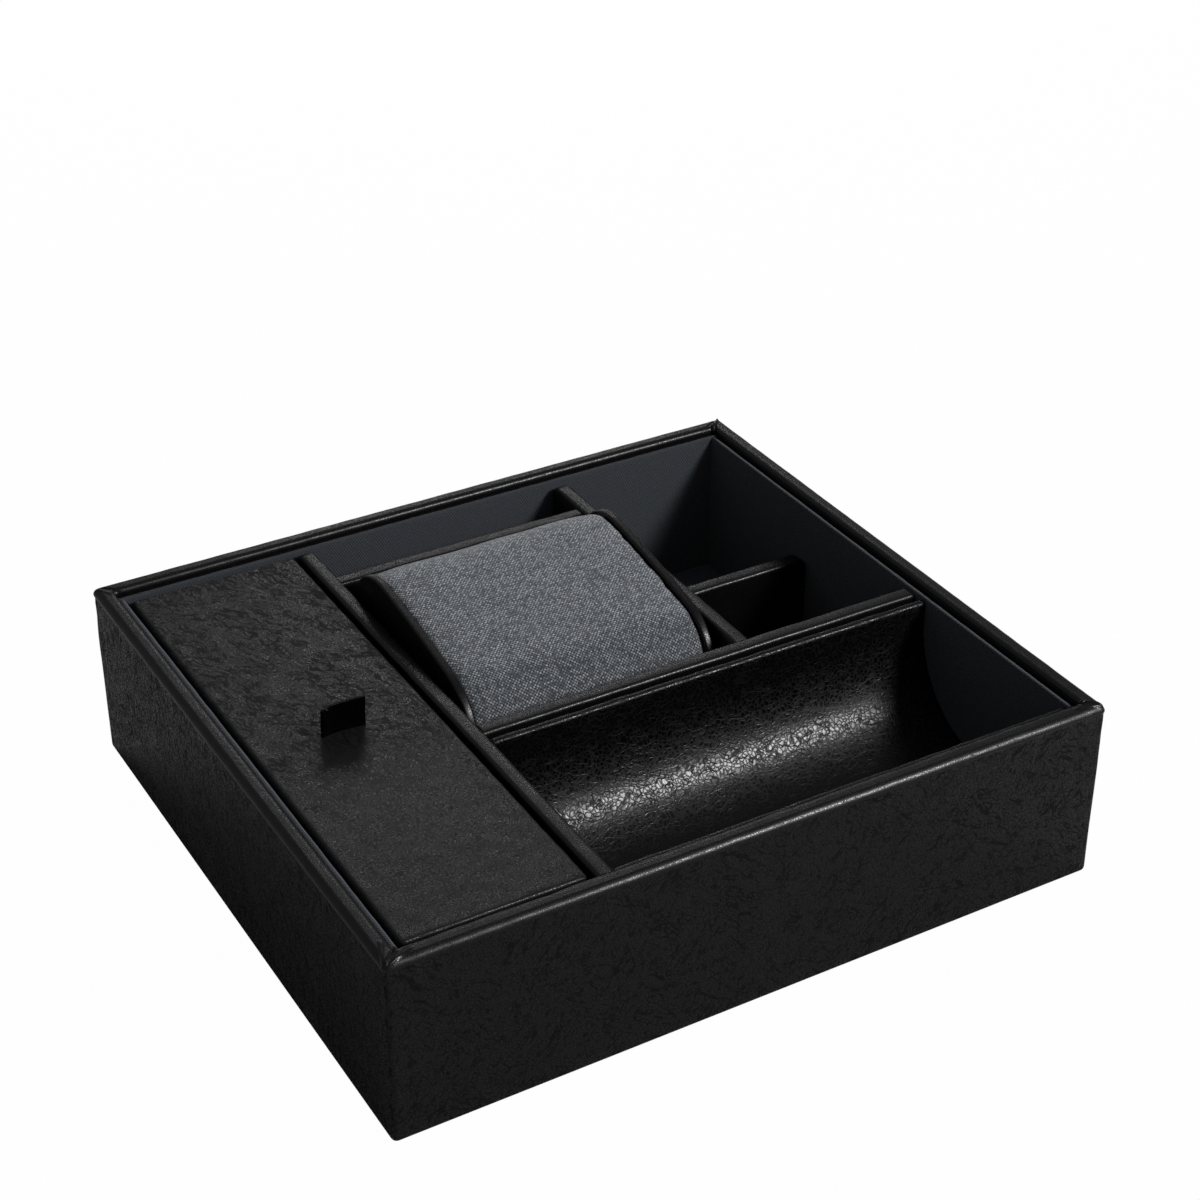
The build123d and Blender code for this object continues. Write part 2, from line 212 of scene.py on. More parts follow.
class Recipe(Nodes):
    """One material being put together from shader nodes."""

    def __init__(self, name: str) -> None:
        """Start an empty material."""
        self.material = bpy.data.materials.new(name)
        self.material.use_nodes = True
        super().__init__(self.material.node_tree)

    def vector(self, operation: str, a: object, b: object = (0.0, 0.0, 0.0)) -> Socket:
        """A Vector Math node on two vectors."""
        return self.add("VectorMath", 0, {0: a, 1: b}, operation=operation)

    def scaled(self, a: object, amount: float) -> Socket:
        """A vector made longer or shorter."""
        return self.add("VectorMath", 0, {0: a, "Scale": amount}, operation="SCALE")

    def part(self, a: Socket, axis: str) -> Socket:
        """One of the three parts of a vector."""
        return self.add("SeparateXYZ", axis, {"Vector": a})

    def ramp(
        self, value: object, low: float, high: float, to_low: float = 0.0, to_high: float = 1.0
    ) -> Socket:
        """A smooth step of a value from one range to another."""
        inputs = {"Value": value, "From Min": low, "From Max": high, "To Min": to_low, "To Max": to_high}
        return self.add("MapRange", 0, inputs, interpolation_type="SMOOTHSTEP")

    def blend(self, share: object, a: object, b: object) -> Socket:
        """A colour between two others."""
        return self.add("Mix", 2, {0: share, 6: opaque(a), 7: opaque(b)}, data_type="RGBA")

    def noise(self, place: Socket, scale: float, detail: float, roughness: float = 0.5) -> Socket:
        """Cloudy values round 0.5; the scale says how many clouds there are to a millimetre."""
        inputs = {"Vector": place, "Scale": scale, "Detail": detail, "Roughness": roughness}
        return self.add("TexNoise", "Fac", inputs)

    def strayed(self, place: Socket, scale: float, reach: float) -> Socket:
        """A place pushed about by slow noise, so that what follows it doesn't run straight."""
        push = self.add("TexNoise", "Color", {"Vector": place, "Scale": scale, "Detail": 2.0})
        push = self.vector("SUBTRACT", push, (0.5, 0.5, 0.5))
        return self.vector("ADD", place, self.scaled(push, reach))

    def millimetres(self) -> Socket:
        """The place on the object, in millimetres."""
        return self.scaled(self.add("TexCoord", "Object"), 1.0 / MM)

    def dress(
        self, height: object, colour: object, roughness: object, gloss: float, sheen: Point2 = (0.0, 0.5)
    ) -> Material:
        """Join up the shader.

        Args:
            height: relief in millimetres.
            colour: base colour, a socket or a triple.
            roughness: roughness, a socket or a number.
            gloss: how strongly the surface mirrors.
            sheen: the strength and the roughness of the bloom at a low angle.

        Returns:
            The finished material.
        """
        inputs = {
            "Normal": self.add("Bump", 0, {"Strength": 1.0, "Distance": MM, "Height": height}),
            "Base Color": opaque(colour),
            "Roughness": roughness,
            "Specular IOR Level": gloss,
            "Sheen Weight": sheen[0],
            "Sheen Roughness": sheen[1],
        }
        self.show(self.add("BsdfPrincipled", "BSDF", inputs))
        return self.material


# Finishes


@dataclass(frozen=True)
class Finish:
    """What a piece is made of, as a material."""

    name: str

    @lru_cache(maxsize=None)
    def material(self) -> Material:
        """The finish's material, the same one each time."""
        return self.fill(Recipe(self.name))

    def fill(self, mix: Recipe) -> Material:
        """Put the finish's nodes into its recipe."""
        raise NotImplementedError


@dataclass(frozen=True)
class Drift:
    """Which way wrinkles run: a turn in degrees, and how far they are drawn out along its axes."""

    turn: Triple = (0.0, 0.0, 0.0)
    draw: Triple = (1.0, 1.0, 1.0)


@dataclass(frozen=True)
class LeatherCloth(Finish):
    """Black coated leather cloth: small domes, fine cracks between them, and wrinkles in drifts.

    Patches of the cloth follow the first drift and the rest the second. Faces that look along X can
    have a drift of their own. With calm set, the wrinkles fade out towards the front between two
    places.
    """

    colour: Colour = (0.0068, 0.0063, 0.0065)
    # The colour painted into the cracks and wrinkles as their shade
    crease_shade: Colour = (0.0008, 0.0007, 0.0008)
    roughness: float = 0.28
    shine: float = 0.24
    pore_depth: float = 0.010
    dome: float = 1.1
    dome_depth: float = 0.030
    crack_line: float = 0.11
    crack_depth: float = 0.006
    wrinkle: float = 2.8
    wrinkle_line: float = 0.17
    wrinkle_depth: float = 0.055
    wrinkle_cover: float = 0.6
    drifts: tuple[Drift, Drift] = (Drift(), Drift())
    side: Drift | None = None
    calm: Point2 | None = None
    swell: float = 0.08
    dull: float = 0.6

    def fill(self, mix: Recipe) -> Material:
        """Put the finish's nodes into its recipe."""
        place = mix.millimetres()
        bent = mix.strayed(place, scale=0.25, reach=3.0)
        cells = {"Vector": bent, "Scale": 1.0 / self.dome}
        edge = mix.add("TexVoronoi", "Distance", cells, feature="DISTANCE_TO_EDGE")
        dome = mix.ramp(edge, 0.0, 0.42)
        crack = mix.ramp(edge, 0.02, self.crack_line / self.dome)
        spots = mix.noise(place, scale=0.33, detail=2.0)
        crack = self.faded(mix, crack, mix.ramp(spots, 0.36, 0.58, 0.7, 1.0))
        wrinkle = self.faded(mix, self.wrinkles(mix, place, bent), self.cover(mix, place))
        pores = mix.noise(place, scale=2.6, detail=3.0, roughness=0.6)
        swell = mix.noise(place, scale=0.16, detail=1.5)
        height = mix.times(dome, self.dome_depth)
        for layer, thick in (
            (pores, self.pore_depth),
            (crack, self.crack_depth),
            (wrinkle, self.wrinkle_depth),
            (swell, self.swell),
        ):
            height = mix.times(layer, thick, height)
        # Painted shade: the colour darkens to the crease shade in the cracks, in the wrinkles and round the
        # edges of the domes, where shade falls.
        open_part = mix.times(mix.ramp(crack, 0.0, 1.0, 0.1, 1.0), mix.ramp(wrinkle, 0.0, 0.9, 0.1, 1.0))
        open_part = mix.times(open_part, mix.ramp(dome, 0.0, 0.7, 0.7, 1.0))
        colour = mix.blend(open_part, self.crease_shade, self.colour)
        rub = mix.ramp(pores, 0.3, 0.7, self.roughness - 0.03, self.roughness + 0.05)
        rough = mix.times(mix.rest_of(open_part), self.dull, rub)
        return mix.dress(height, colour, rough, self.shine)

    def cover(self, mix: Recipe, place: Socket) -> Socket:
        """How deep the wrinkles are in each patch of the cloth."""
        patch = mix.noise(place, scale=0.10, detail=3.0)
        shift = 0.3 * self.wrinkle_cover
        cover = mix.ramp(patch, 0.66 - shift, 0.78 - shift, 0.1, 1.0)
        if self.calm:
            cover = mix.times(cover, mix.ramp(mix.part(place, "Y"), *self.calm))
        return cover

    def wrinkles(self, mix: Recipe, place: Socket, bent: Socket) -> Socket:
        """The wrinkles of every drift together."""
        where = mix.ramp(mix.noise(place, scale=0.06, detail=1.0), 0.44, 0.56)
        wrinkle = self.between(mix, where, *(self.lines(mix, bent, drift) for drift in self.drifts))
        if self.side:
            aside = mix.math("ABSOLUTE", mix.part(mix.add("TexCoord", "Normal"), "X"))
            wrinkle = self.between(mix, mix.ramp(aside, 0.5, 0.8), wrinkle, self.lines(mix, bent, self.side))
        return wrinkle

    def lines(self, mix: Recipe, place: Socket, drift: Drift) -> Socket:
        """Long winding lines of one drift: 0 along each line and 1 between them."""
        inputs = {"Vector": place, "Rotation": tuple(map(math.radians, drift.turn)), "Scale": drift.draw}
        drawn = mix.add("Mapping", 0, inputs, vector_type="TEXTURE")
        level = mix.noise(drawn, scale=1.0 / self.wrinkle, detail=1.6, roughness=0.55)
        away = mix.math("ABSOLUTE", mix.math("SUBTRACT", level, 0.5))
        return mix.ramp(away, 0.0, 0.6 * self.wrinkle_line / self.wrinkle)

    @staticmethod
    def between(mix: Recipe, share: Socket, a: Socket, b: Socket) -> Socket:
        """A value between two others."""
        return mix.times(share, mix.math("SUBTRACT", b, a), a)

    @staticmethod
    def faded(mix: Recipe, lines: Socket, share: Socket) -> Socket:
        """The lines at a share of their full depth."""
        return mix.rest_of(mix.times(mix.rest_of(lines), share))


@dataclass(frozen=True)
class LiningCloth(Finish):
    """Blue-grey woven cloth. Its threads follow the piece's own cloth marks."""

    weave: Weave = Weave.TWILL
    colour: Colour = (0.088, 0.098, 0.113)
    # The colour painted between the threads as their shade, and of the darker flecks of the yarn
    shade: Colour = (0.032, 0.036, 0.043)
    pitch: float = 0.62
    slope: float = 60.0
    depth: float = 0.07
    fleck: float = 0.35
    roughness: float = 0.86
    sheen: float = 0.12

    def fill(self, mix: Recipe) -> Material:
        """Put the finish's nodes into its recipe."""
        marks = mix.add("Attribute", "Vector", attribute_name="cloth", attribute_type="GEOMETRY")
        marks = mix.strayed(marks, scale=0.8, reach=0.35)
        height = self.threads(mix, mix.part(marks, "X"), mix.part(marks, "Y"))
        fibre = mix.noise(marks, scale=2.1, detail=4.0, roughness=0.7)
        slub = mix.noise(mix.vector("MULTIPLY", marks, (0.12, 1.6, 1.0)), scale=1.0, detail=2.0)
        knot = mix.vector("FLOOR", mix.scaled(marks, 2.0 / self.pitch))
        shade = mix.add("TexWhiteNoise", "Value", {"Vector": knot}, noise_dimensions="3D")
        # Painted shade and tone: the colour falls to the shade colour in the gaps between the threads, where
        # shade falls, and in random flecks, slubs and fibres of the yarn.
        lit_tops_and_tone = mix.times(mix.ramp(height, 0.0, 0.85), mix.ramp(fibre, 0.32, 0.62, 1.0 - self.fleck, 1.0))
        lit_tops_and_tone = mix.times(lit_tops_and_tone, mix.ramp(slub, 0.3, 0.7, 0.86, 1.0))
        lit_tops_and_tone = mix.times(lit_tops_and_tone, mix.ramp(shade, 0.0, 1.0, 1.0 - 1.4 * self.fleck, 1.0))
        relief = mix.times(height, self.depth, mix.times(fibre, self.depth * 0.6))
        return mix.dress(
            relief, mix.blend(lit_tops_and_tone, self.shade, self.colour), self.roughness, 0.2, sheen=(self.sheen, 0.5)
        )

    def threads(self, mix: Recipe, across: Socket, along: Socket) -> Socket:
        """The height of the woven threads, from 0 to 1."""
        if self.weave is Weave.TWILL:
            lean = math.radians(self.slope)
            rib = self.wave(mix, across, along, math.sin(lean), math.cos(lean), self.pitch)
            stitch = self.wave(mix, across, along, 0.35, -1.0, self.pitch * 0.72)
            return mix.times(rib, mix.times(stitch, 0.45, 0.55))
        warp = self.wave(mix, across, along, 1.0, 0.0, self.pitch)
        weft = self.wave(mix, across, along, 0.0, 1.0, self.pitch)
        return mix.math("MAXIMUM", mix.times(warp, weft), mix.times(mix.rest_of(warp), mix.rest_of(weft)))

    @staticmethod
    def wave(mix: Recipe, u: Socket, v: Socket, a: float, b: float, pitch: float) -> Socket:
        """Ribs from 0 to 1 that run square to the direction (a, b), one to each pitch."""
        turn = 2.0 * math.pi / pitch
        phase = mix.math("ADD", mix.times(u, a * turn), mix.times(v, b * turn))
        return mix.times(mix.math("SINE", phase), 0.5, 0.5)


@dataclass(frozen=True)
class PulpBoard(Finish):
    """Grey board or card: flat, with fibres and small specks."""

    colour: Colour = (0.20, 0.185, 0.165)
    speck: Colour = (0.10, 0.09, 0.08)
    roughness: float = 0.92

    def fill(self, mix: Recipe) -> Material:
        """Put the finish's nodes into its recipe."""
        place = mix.millimetres()
        fibre = mix.noise(mix.vector("MULTIPLY", place, (0.4, 1.0, 1.0)), scale=2.5, detail=5.0)
        specks = mix.ramp(mix.noise(place, scale=1.1, detail=4.0), 0.60, 0.70)
        colour = mix.blend(specks, self.colour, self.speck)
        return mix.dress(mix.times(fibre, 0.05), colour, self.roughness, 0.15)


@dataclass(frozen=True)
class Felt(Finish):
    """Pressed felt: tangled short fibres with a soft bloom at a low angle."""

    colour: Colour = (0.012, 0.012, 0.013)
    tip: Colour = (0.035, 0.035, 0.038)

    def fill(self, mix: Recipe) -> Material:
        """Put the finish's nodes into its recipe."""
        place = mix.millimetres()
        inputs = {"Vector": place, "Scale": 1.9, "Detail": 6.0, "Roughness": 0.72, "Distortion": 1.2}
        tangle = mix.add("TexNoise", "Fac", inputs)
        cloud = mix.ramp(mix.noise(place, scale=0.2, detail=2.0), 0.2, 0.8, 0.6, 1.0)
        colour = mix.blend(mix.times(tangle, cloud), self.colour, self.tip)
        return mix.dress(mix.times(tangle, 0.28), colour, 0.96, 0.1, sheen=(0.25, 0.6))


# The leather finishes below are one black leather cloth. Their base colours differ as painted light and
# shade: lightest on the walls, middle on the lid, darker on the rim, the dividers and the pillow sides,
# darker still in the trough, and nearly black on the tab.
WALL_LEATHER = LeatherCloth(
    "wall_leather_cloth",
    # Lighter than the other leather, as painted light on the walls.
    colour=(0.0120, 0.0112, 0.0114),
    shine=0.20,
    dome=0.8,
    dome_depth=0.030,
    crack_line=0.10,
    wrinkle=2.4,
    wrinkle_line=0.20,
    wrinkle_depth=0.055,
    wrinkle_cover=1.1,
    drifts=(Drift((0.0, 35.0, 0.0), (4.6, 1.0, 1.0)), Drift((0.0, -50.0, 0.0), (3.8, 1.0, 1.0))),
    side=Drift((-8.0, 0.0, 0.0), (1.0, 0.45, 3.0)),
)
BAND_LEATHER = LeatherCloth(
    "divider_leather_cloth",
    # Darker than the walls' colour, as painted shade.
    colour=(0.0034, 0.0031, 0.0032),
    roughness=0.23,
    shine=0.32,
    dome=0.55,
    dome_depth=0.004,
    pore_depth=0.004,
    crack_line=0.06,
    crack_depth=0.0008,
    wrinkle_depth=0.012,
    wrinkle_cover=0.2,
    swell=0.04,
    dull=0.3,
)
LID_LEATHER = LeatherCloth(
    "lid_leather_cloth",
    roughness=0.25,
    shine=0.38,
    dome=0.65,
    dome_depth=0.012,
    crack_line=0.085,
    crack_depth=0.001,
    wrinkle=1.8,
    wrinkle_line=0.28,
    wrinkle_depth=0.006,
    wrinkle_cover=1.1,
    drifts=(Drift((0.0, 0.0, -75.0), (4.0, 1.0, 1.0)), Drift((0.0, 0.0, -55.0), (3.2, 1.0, 1.0))),
    calm=(-50.0, 5.0),
    swell=0.05,
)
TROUGH_LEATHER = LeatherCloth(
    "trough_leather_cloth",
    # Darker than the other leather, as painted shade inside the trough.
    colour=(0.0014, 0.0013, 0.0014),
    pore_depth=0.005,
    dome=1.1,
    dome_depth=0.011,
    crack_line=0.12,
    crack_depth=0.005,
    wrinkle=2.2,
    wrinkle_line=0.14,
    wrinkle_depth=0.036,
    wrinkle_cover=1.0,
    dull=0.4,
    drifts=(Drift((0.0, 0.0, 12.0), (3.0, 1.0, 1.0)), Drift((0.0, 0.0, -20.0), (2.0, 1.0, 1.0))),
    roughness=0.22,
    shine=0.29,
    swell=0.05,
)
TAB_LEATHER = LeatherCloth(
    "tab_leather_cloth",
    # Nearly black, as painted shade on the tab's unlit faces.
    colour=(0.0006, 0.0005, 0.0006),
    roughness=0.26,
    shine=0.04,
    dome_depth=0.004,
    pore_depth=0.004,
    crack_depth=0.001,
    wrinkle_depth=0.01,
    wrinkle_cover=0.2,
    swell=0.02,
)
WALL_TWILL = LiningCloth("lining_twill")
PILLOW_CLOTH = LiningCloth(
    "pillow_cloth",
    weave=Weave.CHECKER,
    colour=(0.48, 0.505, 0.535),
    shade=(0.028, 0.032, 0.040),
    pitch=0.95,
    fleck=0.6,
    depth=0.12,
)
GREY_BOARD = PulpBoard("grey_board")
BLACK_CARD = PulpBoard("black_card", colour=(0.018, 0.018, 0.018), speck=(0.03, 0.03, 0.03))
BASE_FELT = Felt("base_felt_cloth")


# Outlines


class Rim(Protocol):
    """Anything that can be walked round at a given distance inside its edge."""

    def ring(self, inset: float) -> np.ndarray:
        """Points round the outline, the same number for every inset."""


@dataclass(frozen=True)
class FourSided:
    """A four-sided outline with a radius at each corner.

    The sides are numbered from the low one, anticlockwise: low, right, high, left. A side that
    isn't free stays where it is when the outline is drawn in, because the piece butts there.
    """

    low: Point2
    high: Point2
    radii: tuple[float, float, float, float] = (0.4, 0.4, 0.4, 0.4)
    free: tuple[bool, bool, bool, bool] = (True, True, True, True)
    step: float = 4.0
    near: tuple[float, ...] = (0.5, 1.2, 2.4)
    turns: int = 6
    least: float = 0.05

    def corners(self, inset: float = 0.0) -> list[np.ndarray]:
        """The four corners, with the free sides drawn in."""
        (x0, y0), (x1, y1) = self.low, self.high
        x0, x1 = x0 + inset * self.free[3], x1 - inset * self.free[1]
        y0, y1 = y0 + inset * self.free[0], y1 - inset * self.free[2]
        return [np.array(c, float) for c in ((x0, y0), (x1, y0), (x1, y1), (x0, y1))]

    def fractions(self, side: int) -> np.ndarray:
        """Where the points stand along one side, as shares of its length, closer at the ends."""
        a, b = self.corners()[side], self.corners()[(side + 1) % 4]
        length = float(np.abs(b - a).sum())
        close = [d for d in self.near if d < length * 0.4]
        first = close[-1] if close else 0.0
        count = max(1, round((length - 2 * first) / self.step))
        middle = [first + (length - 2 * first) * k / count for k in range(count + 1)]
        all_of = close[:-1] + middle + [length - d for d in reversed(close[:-1])]
        return np.array([d / length for d in all_of if 1e-6 < d < length - 1e-6])

    def ring(self, inset: float) -> np.ndarray:
        """Points round the outline.

        Args:
            inset: how far the free sides are drawn in.

        Returns:
            An array of points, anticlockwise from the low corner.
        """
        corners = self.corners(inset)
        ways = [np.array(w, float) for w in ((1, 0), (0, 1), (-1, 0), (0, -1))]
        radii = []
        for k in range(4):
            both = self.free[k] and self.free[k - 1]
            radii.append(max(self.radii[k] - (inset if both else 0.0), self.least))
        points: list[np.ndarray] = []
        for k in range(4):
            out, into, r = ways[k], ways[k - 1], radii[k]
            centre = corners[k] + r * out - r * into
            for j in range(self.turns + 1):
                a = math.pi / 2 * j / self.turns
                points.append(centre - r * math.cos(a) * out + r * math.sin(a) * into)
            start = corners[k] + r * out
            end = corners[(k + 1) % 4] - radii[(k + 1) % 4] * out
            points.extend(start + (end - start) * f for f in self.fractions(k))
        return np.array(points)



def level(place: Span, radius: float, **more) -> FourSided:
    """The outline of a level piece, with the same radius at each corner."""
    return FourSided((place.low.x, place.low.y), (place.high.x, place.high.y), (radius,) * 4, **more)


def upright(
    place: Span, along_x: bool, radii: tuple[float, float, float, float], **more
) -> tuple[FourSided, Lay, Point2]:
    """A standing panel's outline, the outline's plane, and the places of its two faces."""
    run, face = (0, 1) if along_x else (1, 0)
    rim = FourSided((place.low[run], place.low.z), (place.high[run], place.high.z), radii, **more)
    lay = Lay.FACING_Y if along_x else Lay.FACING_X
    return rim, lay, (place.low[face], place.high[face])


@dataclass
class PathOutline:
    """A closed smooth outline drawn with straight runs and bends."""

    start: Point2
    heading: float = 0.0
    step: float = 1.5
    points: list[np.ndarray] = field(default_factory=list)
    normals: list[np.ndarray] = field(default_factory=list)

    def __post_init__(self) -> None:
        """Put the pen at the start."""
        self.pen = np.array(self.start, float)

    def mark(self) -> None:
        """Keep the pen's place and the direction that faces out of the outline."""
        a = math.radians(self.heading)
        self.points.append(self.pen.copy())
        self.normals.append(np.array([math.sin(a), -math.cos(a)]))

    def straight(self, length: float) -> None:
        """Run straight on."""
        count = max(1, round(length / self.step))
        way = np.array([math.cos(math.radians(self.heading)), math.sin(math.radians(self.heading))])
        for _ in range(count):
            self.mark()
            self.pen = self.pen + way * length / count

    def bend(self, radius: float, angle: float) -> None:
        """Turn left along an arc."""
        count = max(4, round(radius * math.radians(angle) / self.step))
        part = angle / count
        chord = 2 * radius * math.sin(math.radians(part) / 2)
        for _ in range(count):
            self.mark()
            a = math.radians(self.heading + part / 2)
            self.pen = self.pen + np.array([math.cos(a), math.sin(a)]) * chord
            self.heading += part

    def ring(self, inset: float) -> np.ndarray:
        """Points round the outline, moved in along their own normals."""
        return np.array(self.points) - np.array(self.normals) * inset

    def lengths(self) -> np.ndarray:
        """How far along the outline each point is."""
        points = np.array(self.points)
        steps = np.linalg.norm(np.diff(points, axis=0), axis=1)
        return np.concatenate([[0.0], np.cumsum(steps)])


def quarter(from_point: Point2, to_point: Point2, bulge_first: bool, count: int) -> Profile:
    """A quarter round between two points of an edge profile.

    Args:
        from_point: (inset, height) where it starts.
        to_point: (inset, height) where it ends.
        bulge_first: True if it sets off along the height, False along the inset.
        count: how many steps it takes.

    Returns:
        The points after the first, up to the last.
    """
    (a0, b0), (a1, b1) = from_point, to_point
    steps = []
    for k in range(1, count + 1):
        t = math.pi / 2 * k / count
        rise, run = math.sin(t), 1.0 - math.cos(t)
        if bulge_first:
            steps.append((a0 + (a1 - a0) * run, b0 + (b1 - b0) * rise))
        else:
            steps.append((a0 + (a1 - a0) * rise, b0 + (b1 - b0) * run))
    return steps


# Meshes


@dataclass
class Skin:
    """A mesh being made from rings or rows of points, in millimetres."""

    points: list[np.ndarray] = field(default_factory=list)
    marks: list[np.ndarray] = field(default_factory=list)
    faces: list[tuple[int, ...]] = field(default_factory=list)

    def row(self, points: np.ndarray, marks: np.ndarray | None = None) -> list[int]:
        """Add a row of points, and give back their numbers."""
        first = sum(len(p) for p in self.points)
        self.points.append(np.asarray(points, float))
        self.marks.append(np.zeros((len(points), 3)) if marks is None else np.asarray(marks, float))
        return list(range(first, first + len(points)))

    def join(self, rows: list[list[int]], closed: bool = True, turned: bool = False) -> None:
        """Put a band of faces between each row and the next."""
        for pair in zip(rows, rows[1:]):
            a, b = reversed(pair) if turned else pair
            for k in range(len(a) if closed else len(a) - 1):
                n = (k + 1) % len(a)
                self.faces.append((a[k], a[n], b[n], b[k]))

    def cap(self, row: list[int], turned: bool = False) -> None:
        """Close a ring with one flat face."""
        self.faces.append(tuple(reversed(row)) if turned else tuple(row))

    def piece(self, name: str, finish: Finish) -> Object:
        """Make the object.

        Args:
            name: the piece's name.
            finish: its material.

        Returns:
            The object, in metres, with smooth faces.
        """
        mesh = bpy.data.meshes.new(name)
        points = np.concatenate(self.points) * MM
        mesh.from_pydata(points.tolist(), [], self.faces)
        marks = mesh.attributes.new("cloth", "FLOAT_VECTOR", "POINT")
        marks.data.foreach_set("vector", np.concatenate(self.marks).astype(np.float32).ravel())
        mesh.polygons.foreach_set("use_smooth", [True] * len(mesh.polygons))
        mesh.materials.append(finish.material())
        mesh.update()
        return linked(name, mesh)


def linked(name: str, data: bpy.types.ID) -> Object:
    """A new object in the scene."""
    obj = bpy.data.objects.new(name, data)
    bpy.context.scene.collection.objects.link(obj)
    return obj


def laid(ring: np.ndarray, t: float, lay: Lay) -> np.ndarray:
    """A flat ring put into its plane, at a height above it."""
    u, v, w = lay.value
    placed = np.zeros((len(ring), 3))
    placed[:, u], placed[:, v], placed[:, w] = ring[:, 0], ring[:, 1], t
    return placed


def wrapped_panel(
    name: str, finish: Finish, rim: Rim, lay: Lay, ends: Point2, roll: float, inner: Sequence[float] = ()
) -> Object:
    """A panel with its covering rolled over its edges.

    Args:
        name: the piece's name.
        finish: its material.
        rim: the outline.
        lay: the plane of the outline.
        ends: the panel's two faces, as places along the plane's normal.
        roll: the radius of its edges.
        inner: more insets inside the edge, where the faces need points of their own.

    Returns:
        The piece.
    """
    t0, t1 = ends
    reach = [roll + FACE_INSET, *inner]
    profile: Profile = [(a, t0) for a in reversed(reach)] + [(roll, t0)]
    profile += quarter((roll, t0), (0.0, t0 + roll), False, ROLL_STEPS)
    profile += [(0.0, t1 - roll)] + quarter((0.0, t1 - roll), (roll, t1), True, ROLL_STEPS)
    profile += [(a, t1) for a in reach]
    skin = Skin()
    rows = []
    for inset, t in profile:
        ring = rim.ring(inset)
        marks = np.column_stack([ring + (t - t1), np.zeros(len(ring))])
        rows.append(skin.row(laid(ring, t, lay), marks))
    skin.join(rows)
    skin.cap(rows[0], turned=True)
    skin.cap(rows[-1])
    obj = skin.piece(name, finish)
    face_out(obj)
    return obj


def face_out(obj: Object) -> None:
    """Turn the faces of a closed mesh outwards, and keep its square edges crisp."""
    work = bmesh.new()
    work.from_mesh(obj.data)
    bmesh.ops.recalc_face_normals(work, faces=work.faces)
    work.to_mesh(obj.data)
    work.free()
    obj.data.update()
    obj.data.set_sharp_from_angle(angle=math.radians(SHARP_EDGE))


def thicken(obj: Object, amount: float) -> None:
    """Give an open skin its thickness in millimetres, on the side away from its face."""
    made = obj.modifiers.new("thickness", "SOLIDIFY")
    made.thickness = amount * MM
    made.offset = -1.0
    apply_all(obj)


def apply_all(obj: Object) -> None:
    """Turn the object's modifiers into plain mesh."""
    depsgraph = bpy.context.evaluated_depsgraph_get()
    finished = obj.evaluated_get(depsgraph)
    fixed = bpy.data.meshes.new_from_object(finished, preserve_all_data_layers=True, depsgraph=depsgraph)
    old = obj.data
    obj.modifiers.clear()
    obj.data = fixed
    fixed.name = obj.name
    bpy.data.meshes.remove(old)


def press(obj: Object, depth_at: Callable[[np.ndarray], np.ndarray]) -> None:
    """Move each point of a piece along its normal.

    Args:
        obj: the piece.
        depth_at: gives the moves in millimetres for all points, also in millimetres.
    """
    mesh = obj.data
    places, normals = (np.zeros(len(mesh.vertices) * 3, np.float32) for _ in range(2))
    mesh.vertices.foreach_get("co", places)
    mesh.vertices.foreach_get("normal", normals)
    places, normals = places.reshape(-1, 3) / MM, normals.reshape(-1, 3)
    moved = places + normals * depth_at(places)[:, None]
    mesh.vertices.foreach_set("co", (moved * MM).astype(np.float32).ravel())
    mesh.update()


def drift(places: np.ndarray, cell: float, seed: float = 0.0) -> np.ndarray:
    """Smooth values from about -0.5 to 0.5 at each point; a cell is the length they change over."""
    shift = Vector((seed * 13.7, seed * 7.3, seed * 3.1))
    return np.array([noise.noise(Vector(p) / cell + shift) for p in places.tolist()])


def eased(value: np.ndarray, low: float, high: float) -> np.ndarray:
    """A smooth step from 0 at low to 1 at high."""
    t = np.clip((value - low) / (high - low), 0.0, 1.0)
    return t * t * (3.0 - 2.0 * t)

def margins(p: np.ndarray, place: Span) -> list[np.ndarray]:
    """How far points lie inside the four sides of a box, seen from above."""
    x, y = p[:, 0], p[:, 1]
    return [place.high.x - x, x - place.low.x, place.high.y - y, y - place.low.y]



def settle(obj: Object, body: Body, slot: Slot, *nodes: str) -> Object:
    """Tie a piece to its body, hide the nodes that it stands for, and log it."""
    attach(obj, body.value)
    if nodes:
        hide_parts(*nodes)
    LOG.info("%s: %d faces, rides on %s", obj.name, len(obj.data.polygons), body.value)
    return obj


# The case


@dataclass(frozen=True)
class Fold:
    """One ridge or groove where the covering is folded at a corner of the rim."""

    slope: float
    height: float
    width: float = 0.36
    curve: float = 0.0


